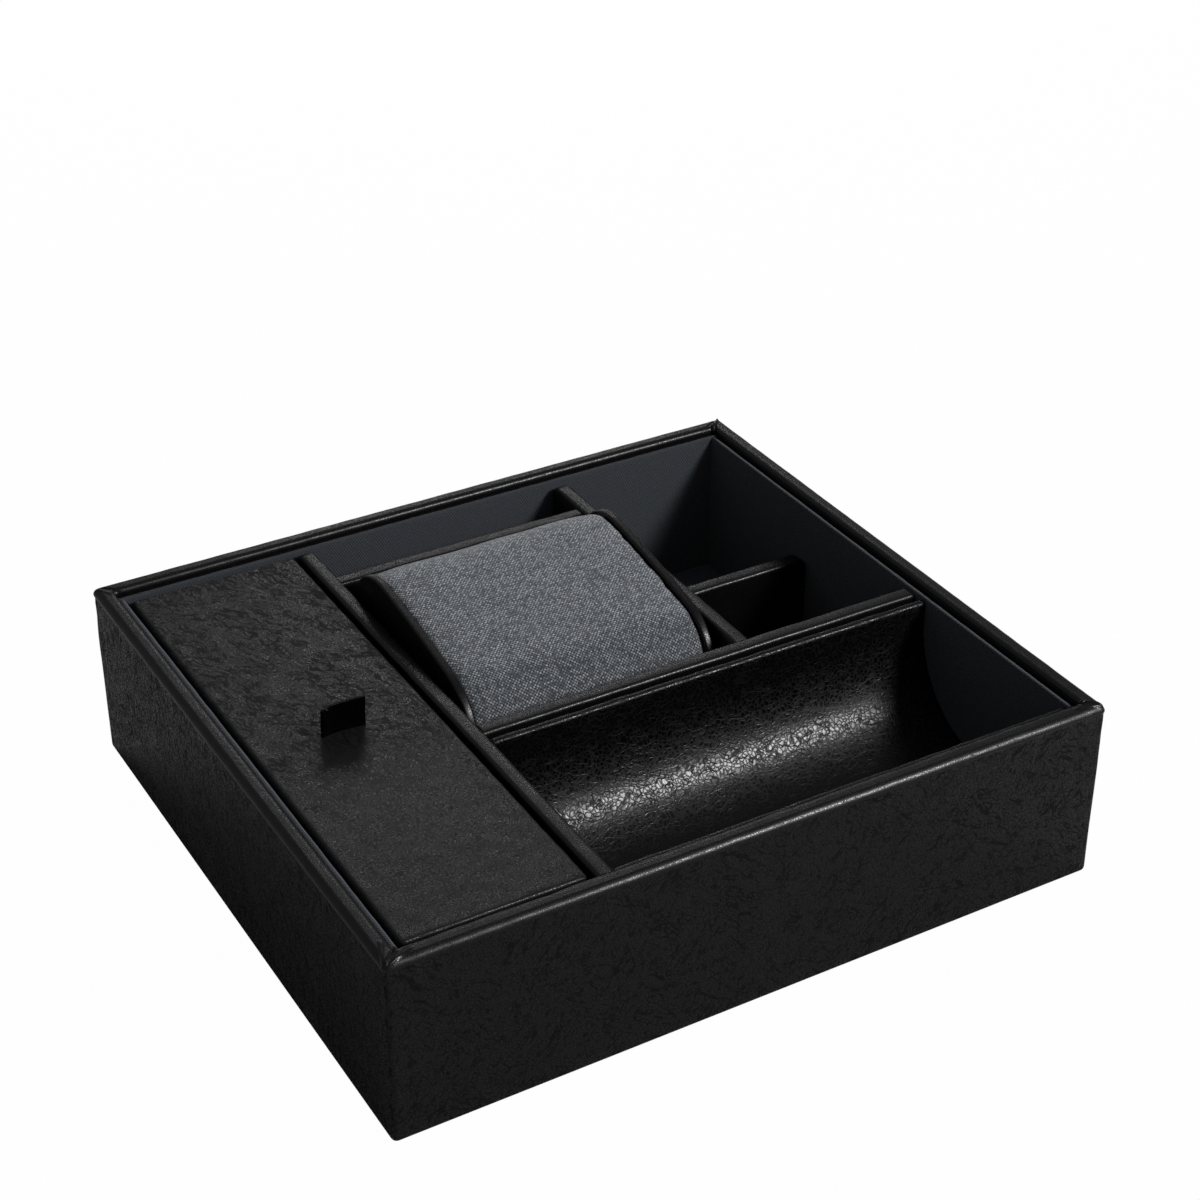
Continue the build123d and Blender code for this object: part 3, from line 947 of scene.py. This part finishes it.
@dataclass
class CaseShell:
    """The outer covering: up the walls, over the rim, down inside, and turned under the base."""

    sheet: float = 0.6
    wall: float = 4.6
    rim_round: float = 1.5
    rim_flat: float = 0.5
    foot_round: float = 1.4
    corner: float = 1.5
    turn_in: float = 14.0
    turn_under: float = 9.0
    rim_wave: float = 0.06
    wall_wave: float = 0.10
    groove: float = 0.28
    groove_width: float = 0.40
    seam_below: float = 0.5
    corner_step: float = 0.32
    corner_steps: int = 21
    near_rim: tuple[float, ...] = (3.5, 2.7, 2.1, 1.7, 1.4, 1.2, 1.05, 0.9, 0.75, 0.6, 0.45, 0.3, 0.15)
    inside: tuple[float, ...] = (0.8, 2.0, 4.0, 7.0, 10.0)
    wall_rows: int = 15
    rim_rows: int = 9
    folds: dict[tuple[int, int], tuple[Fold, ...]] = field(
        default_factory=lambda: {
            (-1, -1): (Fold(-0.42, 0.34), Fold(0.02, 0.42, 0.42), Fold(0.46, 0.30), Fold(0.24, -0.22, 0.3)),
            (-1, 1): (Fold(0.10, -0.30, 0.45), Fold(-0.25, 0.16)),
            (1, 1): (Fold(0.0, 0.40, 0.34), Fold(0.24, -0.20, 0.3)),
            (1, -1): (
                Fold(-0.30, 0.32, 0.4, 0.05),
                Fold(0.12, 0.36, 0.4, 0.05),
                Fold(-0.08, -0.22, 0.3, 0.05),
            ),
        }
    )

    def profile(self, height: float) -> Profile:
        """The covering's section, from its edge under the base to its edge inside the walls."""
        under, foot = self.turn_under, self.foot_round
        path: Profile = [(under, 0.25), (under - 0.3, 0.02), (6.0, 0.0), (3.2, 0.0), (2.2, 0.0), (foot, 0.0)]
        path += quarter((foot, 0.0), (0.0, foot), False, 5)
        last = height - self.rim_round
        reach = last - self.near_rim[0] - foot
        path += [(0.0, foot + reach * k / self.wall_rows) for k in range(1, self.wall_rows + 1)]
        path += [(0.0, last - d) for d in (*self.near_rim[1:], 0.0)]
        rolled = quarter((0.0, last), (self.rim_round, height), True, self.rim_rows)
        for k, (inset, z) in enumerate(rolled, 1):
            straight = self.rim_round * k / self.rim_rows
            inset += (straight - inset) * self.rim_flat
            path.append((inset, z + (last + straight - z) * self.rim_flat))
        across = self.wall - self.rim_round
        path += [(self.rim_round + (across - self.rim_round) * k / 5, height) for k in range(1, 6)]
        path += quarter((across, height), (self.wall, last), False, 7)
        path += [(self.wall, last - d) for d in self.inside] + [(self.wall, height - self.turn_in)]
        return path

    def build(self) -> Object:
        """Make the covering.

        Returns:
            The piece.
        """
        place = span_of("outer_cover")
        near = tuple(self.corner_step * k for k in range(1, self.corner_steps + 1))
        rim = level(place, self.corner, step=0.9, near=near)
        skin = Skin()
        skin.join([skin.row(laid(rim.ring(inset), z, Lay.LEVEL)) for inset, z in self.profile(place.high.z)])
        obj = skin.piece("case_covering", WALL_LEATHER)
        press(obj, lambda p: self.relief(p, place))
        # The rim band gets the divider finish: glossier than the walls, and darker in colour as painted
        # shade.
        obj.data.materials.append(BAND_LEATHER.material())
        seam = (place.high.z - self.rim_round - self.seam_below) * MM
        for face in obj.data.polygons:
            face.material_index = int(face.center.z > seam)
        thicken(obj, self.sheet - SHEET_GAP)
        return settle(obj, Body.CASE, Slot.LEATHER, "outer_cover")

    def relief(self, p: np.ndarray, place: Span) -> np.ndarray:
        """How far each point of the covering stands out from the plain form."""
        top = eased(p[:, 2], place.high.z - 2.6, place.high.z - 0.8)
        low = eased(p[:, 2], 0.6, 6.0)
        across = drift(p, 5.5, 1.0) + 0.5 * drift(p, 2.6, 2.0)
        out = top * self.rim_wave * (across - 0.25) * 0.9
        below = place.high.z - self.rim_round - 0.35 - p[:, 2]
        ragged = np.clip(1.0 + 1.2 * drift(p, 1.9, 20.0) + 0.6 * drift(p, 4.5, 21.0), 0.45, 1.35)
        outer = 1.0 - eased(np.minimum.reduce(margins(p, place)), 0.8, 1.6)
        step = eased(below, 0.0, self.groove_width) * (1.0 - eased(below, 1.0, 16.0))
        out = out - self.groove * ragged * outer * step
        swell = drift(p, 16.0, 3.0) + 0.35 * drift(p, 6.0, 4.0) - 0.35
        out = out + (1.0 - top) * low * self.wall_wave * swell
        for (sx, sy), folds in self.folds.items():
            ax, ay = place.high.x - sx * p[:, 0], place.high.y - sy * p[:, 1]
            along, side = (ax + ay) / math.sqrt(2), (ax - ay) / math.sqrt(2)
            window = eased(along, 0.7, 2.0) * (1.0 - eased(along, 6.6, 8.0)) * top
            for fold in folds:
                line = fold.slope * along + fold.curve * along**2
                width = fold.width * (0.45 + 0.1 * along)
                out = out + window * fold.height * np.exp(-(((side - line) / width) ** 2))
        return out


@dataclass
class Linings:
    """The cloth-covered cards on the walls and the floors."""

    edge: float = 0.62
    slant: float = 1.0
    floor_edge: float = 0.5
    wave: float = 0.12

    def wall(self, node: str) -> Object:
        """One wall lining; its foot and its ends butt, and only its top edge is rolled."""
        place = span_of(node)
        along_x = place.size.x > place.size.y
        free = (False, False, True, False)
        rim, lay, ends = upright(place, along_x, (0.0, 0.3, 0.3, 0.0), free=free, step=2.5)
        obj = wrapped_panel(f"{node}_cloth", WALL_TWILL, rim, lay, ends, self.edge, (2.4, 3.2))
        top = place.high.z
        press(obj, lambda p: self.wave * drift(p, 5.0, 5.0) * eased(p[:, 2], top - 2.5, top - 0.5))
        axis = 1 if along_x else 0
        outer = max(abs(ends[0]), abs(ends[1]))
        for vertex in obj.data.vertices:
            depth = abs(vertex.co[axis]) / MM - (outer - self.slant)
            if depth > 0.0 and vertex.co.z / MM > top - 1.2:
                vertex.co.z -= 0.9 * min(1.0, depth / self.slant) * MM
        return settle(obj, Body.CASE, Slot.TWILL, node)

    def floor(self, node: str) -> Object:
        """One floor lining, rolled at all four edges."""
        place = span_of(node)
        rim = level(place, LINER_CORNER)
        ends = (place.low.z, place.high.z)
        obj = wrapped_panel(f"{node}_cloth", WALL_TWILL, rim, Lay.LEVEL, ends, self.floor_edge)
        return settle(obj, Body.CASE, Slot.TWILL, node)

    def build(self) -> list[Object]:
        """Make every lining of the case."""
        walls = [self.wall(n) for n in ("front_liner", "rear_liner", "left_liner", "right_liner")]
        floors = ("lid_bay_floor", "watch_bay_floor", "rear_bay_floor", "front_bay_floor", "phone_pad")
        return walls + [self.floor(n) for n in floors]


@dataclass(frozen=True)
class DividerShape:
    """Which way a divider runs and how its ends are rounded."""

    node: str
    along_x: bool
    start_radius: float = 0.0
    end_radius: float = 0.0


@dataclass
class Dividers:
    """The leather cloth wrapped over the five divider boards."""

    edge: float = 1.1
    wave: float = 0.12
    shapes: tuple[DividerShape, ...] = (
        DividerShape("left_divider_cover", False, 0.0, 3.4),
        DividerShape("centre_divider_cover", False, 0.0, 3.4),
        DividerShape("cross_divider_cover", True, 0.0, 1.4),
        DividerShape("slot_divider_cover", True),
        DividerShape("partition_cover", True, 0.0, 3.4),
    )

    def wrap(self, shape: DividerShape) -> Object:
        """The wrap of one divider; its foot and its square ends butt."""
        place = span_of(shape.node)
        rim, lay, ends = upright(
            place,
            shape.along_x,
            (0.0, 0.0, shape.end_radius, shape.start_radius),
            free=(False, shape.end_radius > 0, True, shape.start_radius > 0),
            step=2.0,
        )
        name = shape.node.replace("cover", "wrap")
        obj = wrapped_panel(name, BAND_LEATHER, rim, lay, ends, self.edge, (3.0, 4.6))
        press(obj, lambda p: self.relief(p, place.high.z))
        return settle(obj, Body.CASE, Slot.LEATHER, shape.node)

    def relief(self, p: np.ndarray, top: float) -> np.ndarray:
        """Small swells of the wrap near its top edge."""
        swell = drift(p, 6.0, 6.0) + 0.4 * drift(p, 2.4, 7.0) - 0.25
        return self.wave * swell * eased(p[:, 2], top - 4.0, top - 1.0)

    def build(self) -> list[Object]:
        """Make every wrap."""
        return [self.wrap(shape) for shape in self.shapes]


@dataclass
class Trough:
    """The leather cloth that lines the bent card and turns over both of its long edges."""

    sheet: float = 0.6
    edge: float = 2.2
    edge_round: float = 1.0
    turn_over: float = 5.0
    axis_z: float = 39.7
    step: float = 1.0
    wave: float = 0.09

    def section(self, place: Span) -> np.ndarray:
        """The face of the leather cloth, from the front turned edge to the rear one, as (y, z)."""
        front, back, top = place.low.y, place.high.y, place.high.z
        middle, radius = (front + back) / 2, (back - front) / 2 - self.edge
        r, low = self.edge_round, top - self.turn_over
        path = [(front, low + (top - r - low) * k / 4) for k in range(5)]
        for a in np.linspace(0.2, math.pi / 2, 6):
            path.append((front + r * (1 - math.cos(a)), top - r + r * math.sin(a)))
        inner = front + self.edge
        for a in np.linspace(0.15, math.pi / 2, 6):
            path.append((inner - r * (1 - math.sin(a)), top - r + r * math.cos(a)))
        path += [(inner, z) for z in np.arange(top - r - 0.8, self.axis_z, -0.8)]
        count = round(math.pi * radius / self.step)
        turns = [math.pi * k / count for k in range(count + 1)]
        bowl = [(middle - radius * math.cos(a), self.axis_z - radius * math.sin(a)) for a in turns]
        mirror = [(2 * middle - y, z) for y, z in reversed(path)]
        return np.array(path + bowl + mirror)

    def build(self) -> Object:
        """Make the lining of the trough.

        Returns:
            The piece.
        """
        place = span_of("trough_cover")
        section = self.section(place)
        count = round(place.size.x / self.step)
        skin = Skin()
        rows = []
        for k in range(count + 1):
            x = place.low.x + 0.05 + (place.size.x - 0.1) * k / count
            rows.append(skin.row(np.column_stack([np.full(len(section), x), section])))
        skin.join(rows, closed=False, turned=True)
        obj = skin.piece("trough_lining", TROUGH_LEATHER)
        press(obj, lambda p: self.relief(p, place))
        thicken(obj, self.sheet - SHEET_GAP)
        return settle(obj, Body.CASE, Slot.LEATHER, "trough_cover")

    def relief(self, p: np.ndarray, place: Span) -> np.ndarray:
        """Long shallow swells and creases that run along the trough."""
        inside = 1.0 - eased(p[:, 2], place.high.z - 4.0, place.high.z - 0.5)
        drawn = p * np.array([0.45, 1.0, 1.0])
        swell = drift(drawn, 9.0, 8.0)
        crease = -np.abs(drift(drawn, 3.2, 9.0))
        bowl = inside * self.wave * (0.5 * swell + 0.5 * crease + 0.1)
        return bowl + (1.0 - inside) * 0.2 * drift(p, 5.0, 10.0)


# The lid


@dataclass
class Lid:
    """The covered lid board and its lining, with a pucker round the foot of the pull tab."""

    sheet: float = 0.6
    edge: float = 0.9
    corner: float = 1.2
    turn_under: float = 7.0
    wave: float = 0.13
    tab_pucker: float = 0.3

    def cover(self) -> Object:
        """The covering: over the board and turned in under its edges."""
        place = span_of("lid_cover")
        tab = span_of("pull_tab")
        rim = level(place, self.corner, step=0.9, near=(0.4, 0.9))
        low, high, r = place.low.z, place.high.z, self.edge
        path: Profile = [(self.turn_under, low + 0.1), (self.turn_under - 0.5, low), (r + 0.8, low), (r, low)]
        path += quarter((r, low), (0.0, low + r), False, 5) + [(0.0, high - r)]
        path += quarter((0.0, high - r), (r, high), True, 6)
        half = min(place.size.x, place.size.y) / 2
        path += [(a, high) for a in np.arange(r + 0.8, half - 0.4, 0.85)]
        skin = Skin()
        rows = [skin.row(laid(rim.ring(inset), z, Lay.LEVEL)) for inset, z in path]
        skin.join(rows)
        skin.cap(rows[-1])
        obj = skin.piece("lid_covering", LID_LEATHER)
        press(obj, lambda p: self.relief(p, place, tab))
        thicken(obj, self.sheet - SHEET_GAP)
        return settle(obj, Body.LID, Slot.LEATHER, "lid_cover")

    def relief(self, p: np.ndarray, place: Span, tab: Span) -> np.ndarray:
        """Shallow swells, drawn creases behind the tab, and a pucker round its foot."""
        top = eased(p[:, 2], place.high.z - 0.8, place.high.z - 0.1)
        turned = np.column_stack([(p[:, 0] + p[:, 1]) * 0.30, (p[:, 0] - p[:, 1]) * 0.95, p[:, 2]])
        crease = -np.abs(drift(turned, 3.6, 11.0)) * eased(p[:, 1], 0.0, 30.0)
        swell = drift(p, 11.0, 12.0)
        aside = np.maximum(np.abs(p[:, 0] - tab.middle.x) - tab.size.x / 2, 0.0)
        away = np.hypot(aside, p[:, 1] - tab.middle.y)
        rise = self.tab_pucker * np.exp(-((away / 1.8) ** 2))
        dip = np.prod([eased(margin, 0.0, 4.0) for margin in margins(p, place)], axis=0)
        out = top * (self.wave * (0.45 * swell + 0.5 * crease) * dip + rise - 0.08 * dip)
        return out + 0.12 * drift(p, 4.0, 13.0)

    def lining(self) -> Object:
        """The cloth sheet inside the turned-in edge, underneath."""
        place = span_of("lid_lining")
        ends = (place.low.z, place.high.z)
        obj = wrapped_panel(
            "lid_lining_cloth", WALL_TWILL, level(place, LINER_CORNER), Lay.LEVEL, ends, place.size.z * 0.4
        )
        return settle(obj, Body.LID, Slot.TWILL, "lid_lining")

    def build(self) -> list[Object]:
        """Make the lid's pieces."""
        return [self.cover(), self.lining()]


@dataclass
class PullTab:
    """A strip of leather cloth folded over on itself, which stands up from the lid."""

    leaf: float = 0.46
    gap: float = 0.06
    root_below: float = 0.45
    yaw: float = 6.0
    curl: float = 1.5
    curl_reach: float = 2.6
    bow: float = 0.35
    bend_height: float = 3.4
    tip_lean: float = 0.35
    crest_highlight_up: float = 0.55
    rows: tuple[int, int, int] = (14, 9, 25)

    def build(self) -> Object:
        """Make the tab, its foot sunk a little below the top of the lid.

        Returns:
            The piece.
        """
        place = span_of("pull_tab")
        lid_top = span_of("lid_cover").high.z
        offset = (self.leaf + self.gap) / 2
        crest = place.high.z - self.leaf / 2
        foot = lid_top - self.root_below
        up, over, across = self.rows
        heights = np.linspace(foot, crest - offset, up)
        turn = np.linspace(0.0, math.pi, over)[1:-1]
        section = [(-offset, z) for z in heights]
        section += [(-offset * math.cos(a), crest - offset + offset * math.sin(a)) for a in turn]
        section += [(offset, z) for z in heights[::-1]]
        half = place.size.x / 2
        stations = half * np.sin(np.linspace(-math.pi / 2, math.pi / 2, across))
        skin = Skin()
        rows = []
        for s in stations:
            y = self.sweep(s, half)
            points = []
            for side, z in section:
                lift = (z - foot) / (crest - foot)
                lean = self.tip_lean * lift**2
                height = z + lift * self.crest(s + half, 2.0 * half)
                ahead = place.middle.y + side + y * (0.25 + 0.75 * lift) - lean
                points.append((place.middle.x + s, ahead, height))
            rows.append(skin.row(np.array(points)))
        skin.join(rows, closed=False)
        obj = skin.piece("pull_tab_strip", TAB_LEATHER)
        made = obj.modifiers.new("leaf", "SOLIDIFY")
        made.thickness, made.offset = self.leaf * MM, 0.0
        soft = obj.modifiers.new("soft", "SUBSURF")
        soft.levels = soft.render_levels = 1
        apply_all(obj)
        # The upward faces of the crest get the divider finish; its lighter colour there is a painted
        # highlight along the top edge.
        obj.data.materials.append(BAND_LEATHER.material())
        for face in obj.data.polygons:
            face.material_index = int(face.normal.z > self.crest_highlight_up)
        x, y = place.middle.x * MM, place.middle.y * MM
        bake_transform(obj)
        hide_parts("pull_tab")
        LOG.info("%s: %d faces, bends from lid to pull_tab", obj.name, len(obj.data.polygons))
        return obj

    @staticmethod
    def crest(s: float, width: float) -> float:
        """How the top edge runs: a small peak at the curled end, a dip beside it, then a slow climb."""
        peak = 0.50 * math.exp(-(((s - 0.3) / 0.5) ** 2))
        dip = 0.80 * math.exp(-(((s - 1.5) / 0.6) ** 2))
        return peak - dip - 0.75 * (1.0 - s / width) + 0.1

    def sweep(self, s: float, half: float) -> float:
        """How far back the strip stands at a place along its width."""
        curled = max(0.0, 1.0 - (s + half) / self.curl_reach) ** 2
        return -math.tan(math.radians(self.yaw)) * s - self.curl * curled + self.bow * (1 - (s / half) ** 2)


# The watch pillow


@dataclass
class WatchPillow:
    """A stuffed pillow between two leather cloth side panels."""

    rise: float = 6.7
    back_radius: float = 15.0
    lean: float = 7.0
    slope_radius: float = 400.0
    nose_radius: float = 16.0
    corner_radius: float = 12.0
    crown: float = 0.9
    shoulder: float = 9.0
    tuck: float = 2.4
    pucker: float = 0.22
    panel_edge: float = 0.55
    plain_from: float = 1.6
    plain_rows: int = 52

    def outline(self, step: float) -> PathOutline:
        """The pillow's side outline, in the plane of y and z."""
        place = span_of("pillow_left_side")
        front, back, bottom, peak = place.low.y, place.high.y, place.low.z, place.high.z
        reach = (back - self.back_radius) - front - self.nose_radius
        reach += (self.slope_radius - self.back_radius) * math.sin(math.radians(self.lean))
        slope_end = math.degrees(math.asin(reach / (self.slope_radius - self.nose_radius)))
        pen = PathOutline((front + self.corner_radius, bottom), step=step)
        pen.straight(back - front - 2 * self.corner_radius)
        pen.bend(self.corner_radius, 90.0)
        pen.straight(peak - self.back_radius - bottom - self.corner_radius)
        pen.bend(self.back_radius, 90.0 + self.lean)
        pen.bend(self.slope_radius, slope_end - self.lean)
        pen.bend(self.nose_radius, 90.0 - slope_end)
        pen.straight(pen.pen[1] - bottom - self.corner_radius)
        pen.bend(self.corner_radius, 90.0)
        return pen

    def cloth(self) -> Object:
        """The stuffed cloth between the side panels."""
        left, right = span_of("pillow_left_side"), span_of("pillow_right_side")
        start, end = left.high.x, right.low.x
        outline = self.outline(1.0)
        lengths = outline.lengths()
        tucks = [(-0.3, self.crown + self.tuck), (0.05, self.crown + 1.5), (0.22, self.crown + 0.75)]
        tucks += [(0.5, self.crown + 0.3), (0.95, self.crown + 0.08)]
        middle = np.linspace(self.plain_from, (end - start) - self.plain_from, self.plain_rows)
        skin = Skin()
        rows = []
        stations = tucks + [(m, None) for m in middle] + [(end - start - x, a) for x, a in reversed(tucks)]
        for x, inset in stations:
            edge = min(x, end - start - x)
            if inset is None:
                inset = self.crown * (1.0 - math.sin(min(1.0, edge / self.shoulder) * math.pi / 2))
            ring = outline.ring(inset)
            marks = np.column_stack([np.full(len(ring), x), lengths, np.zeros(len(ring))])
            rows.append(skin.row(laid(ring, start + x, Lay.FACING_X), marks))
        skin.join(rows, turned=True)
        skin.cap(rows[0])
        skin.cap(rows[-1], turned=True)
        obj = skin.piece("pillow_cloth_body", PILLOW_CLOTH)
        face_out(obj)
        press(obj, lambda p: self.relief(p, start, end))
        settle(obj, Body.PILLOW, Slot.TWILL, "pillow_cover", "pillow_core")
        return obj

    def relief(self, p: np.ndarray, start: float, end: float) -> np.ndarray:
        """Small puckers along both seams and soft swells between them."""
        edge = np.minimum(p[:, 0] - start, end - p[:, 0])
        near = np.exp(-edge / 3.2)
        across = drift(p * np.array([0.15, 1.0, 1.0]), 3.4, 14.0)
        return near * self.pucker * 2.0 * across + (1.0 - near) * 0.35 * (drift(p, 12.0, 15.0) - 0.2)

    def side(self, node: str) -> Object:
        """One side panel, rolled at its edge."""
        place = span_of(node)
        ends = (place.low.x, place.high.x)
        outline = self.outline(1.0)
        obj = wrapped_panel(f"{node}_panel", BAND_LEATHER, outline, Lay.FACING_X, ends, self.panel_edge)
        return settle(obj, Body.PILLOW, Slot.LEATHER, node)

    def build(self) -> list[Object]:
        """Make the pillow's pieces."""
        return [self.cloth(), self.side("pillow_left_side"), self.side("pillow_right_side")]
# Parts of the frame that stay as they are


@dataclass
class KeptParts:
    """The board, card and felt parts, which keep their shape and get a finish."""

    boards: tuple[str, ...] = (
        *("base_board", "front_wall_board", "rear_wall_board", "left_wall_board", "right_wall_board"),
        *("left_divider_board", "centre_divider_board", "cross_divider_board", "slot_divider_board"),
        *("partition_board", "left_cradle", "right_cradle", "lid_board", "phone_step"),
    )
    cards: tuple[str, ...] = ("trough_card", "front_lid_rest", "rear_lid_rest")
    felts: tuple[str, ...] = ("base_felt",)
    leathers: tuple[str, ...] = ("tab_root",)

    def dress(self) -> None:
        """Give each kept part its finish."""
        sets = (
            (self.boards, GREY_BOARD),
            (self.cards, BLACK_CARD),
            (self.felts, BASE_FELT),
            (self.leathers, TAB_LEATHER),
        )
        for names, finish in sets:
            for name in names:
                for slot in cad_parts[name].material_slots:
                    slot.material = finish.material()
                LOG.info("%s: kept, finish %s", name, finish.name)


# The studio


@dataclass(frozen=True)
class Softbox:
    """A square lamp, aimed at the middle of the valet.

    A matt one lights the cloth and casts the shadows, and isn't mirrored in the leather cloth.
    """

    name: str
    toward: Triple
    distance: float
    side: float
    power: float
    matt: bool = False
    aim: float = 0.03

    def build(self) -> None:
        """Make the lamp."""
        lamp = bpy.data.lights.new(self.name, "AREA")
        lamp.shape, lamp.size, lamp.energy = "SQUARE", self.side, self.power
        obj = linked(self.name, lamp)
        way = Vector(self.toward).normalized()
        obj.location = way * self.distance + Vector((0.0, 0.0, self.aim))
        obj.rotation_mode = "QUATERNION"
        obj.rotation_quaternion = way.to_track_quat("Z", "Y")
        obj.visible_glossy = not self.matt


@dataclass
class Studio:
    """Pale floor, plain soft light and the camera."""

    lamps: tuple[Softbox, ...] = (
        Softbox("rear_key", (0.38, 0.79, 0.48), 1.3, 0.22, 14.5, matt=True),
        Softbox("rear_shine", (0.38, 0.79, 0.48), 1.3, 0.26, 1.9),
        Softbox("front_fill", (0.46, -0.68, 0.56), 1.2, 0.24, 9.4),
    )
    sky: float = 0.17
    white: float = 1.0
    floor_glow: float = 0.985
    floor_gloss: float = 0.01
    sky_gloss: float = 0.03
    floor_colour: Colour = (0.45, 0.45, 0.45)
    floor_drop: float = 0.05
    floor_size: float = 6.0
    lens: float = 72.4655
    sensor: float = 36.0
    clip: Point2 = (0.01, 20.0)
    camera_place: Triple = (-0.243708, -0.429666, 0.365087)
    camera_turn: Triple = (58.40172, -0.06804, -30.07676)

    @staticmethod
    def seen(nodes: Nodes, direct: float, by_gloss: float) -> Socket:
        """How much of the plain white a ray sees, direct from the camera or by gloss or glass."""
        rays = nodes.tree.nodes.new("ShaderNodeLightPath").outputs
        either = nodes.math("MAXIMUM", rays["Is Glossy Ray"], rays["Is Transmission Ray"])
        return nodes.times(rays["Is Camera Ray"], direct, nodes.times(either, by_gloss))

    def world(self) -> None:
        """An even sky that shows as white."""
        world = bpy.data.worlds.new("studio_sky")
        bpy.context.scene.world = world
        world.use_nodes = True
        nodes = Nodes(world.node_tree)
        plain, shown = (
            nodes.add("Background", 0, {"Color": opaque((1.0, 1.0, 1.0)), "Strength": strength})
            for strength in (self.sky, self.white)
        )
        nodes.show(nodes.mixed(self.seen(nodes, 1.0, self.sky_gloss), plain, shown), "World")

    def floor(self) -> None:
        """The pale floor, which keeps a little of the valet's shadow and is clear from below."""
        half, low = self.floor_size / 2, -self.floor_drop * MM
        mesh = bpy.data.meshes.new("studio_floor")
        corners = [(-half, -half, low), (half, -half, low), (half, half, low), (-half, half, low)]
        mesh.from_pydata(corners, [], [(0, 1, 2, 3)])
        obj = linked("studio_floor", mesh)
        mix = Recipe("pale_floor")
        matt = mix.add("BsdfDiffuse", 0, {"Color": opaque(self.floor_colour)})
        glow = mix.add("Emission", 0, {"Strength": self.white})
        above = mix.mixed(self.seen(mix, self.floor_glow, self.floor_gloss), matt, glow)
        below = mix.add("NewGeometry", "Backfacing")
        mix.show(mix.mixed(below, above, mix.add("BsdfTransparent")))
        mesh.materials.append(mix.material)

    def camera(self) -> None:
        """The camera at the photograph's angle."""
        data = bpy.data.cameras.new("valet_camera")
        data.lens, data.sensor_width = self.lens, self.sensor
        data.clip_start, data.clip_end = self.clip
        obj = linked("valet_camera", data)
        obj.location = self.camera_place
        obj.rotation_euler = Euler([math.radians(a) for a in self.camera_turn], "XYZ")
        bpy.context.scene.camera = obj

    def build(self) -> None:
        """Set up the light, the floor and the camera."""
        bpy.context.scene.view_settings.view_transform = "Standard"
        self.camera()
        self.world()
        self.floor()
        for lamp in self.lamps:
            lamp.build()
        LOG.info("studio: %d lamps, floor and camera", len(self.lamps))


def main() -> None:
    """Build the valet and its studio, and report each piece."""
    logging.basicConfig(level=logging.INFO, format="%(name)s: %(message)s")
    Studio().build()
    CaseShell().build()
    Linings().build()
    Dividers().build()
    Trough().build()
    Lid().build()
    PullTab().build()
    WatchPillow().build()
    KeptParts().dress()


if __name__ == "__main__":
    main()
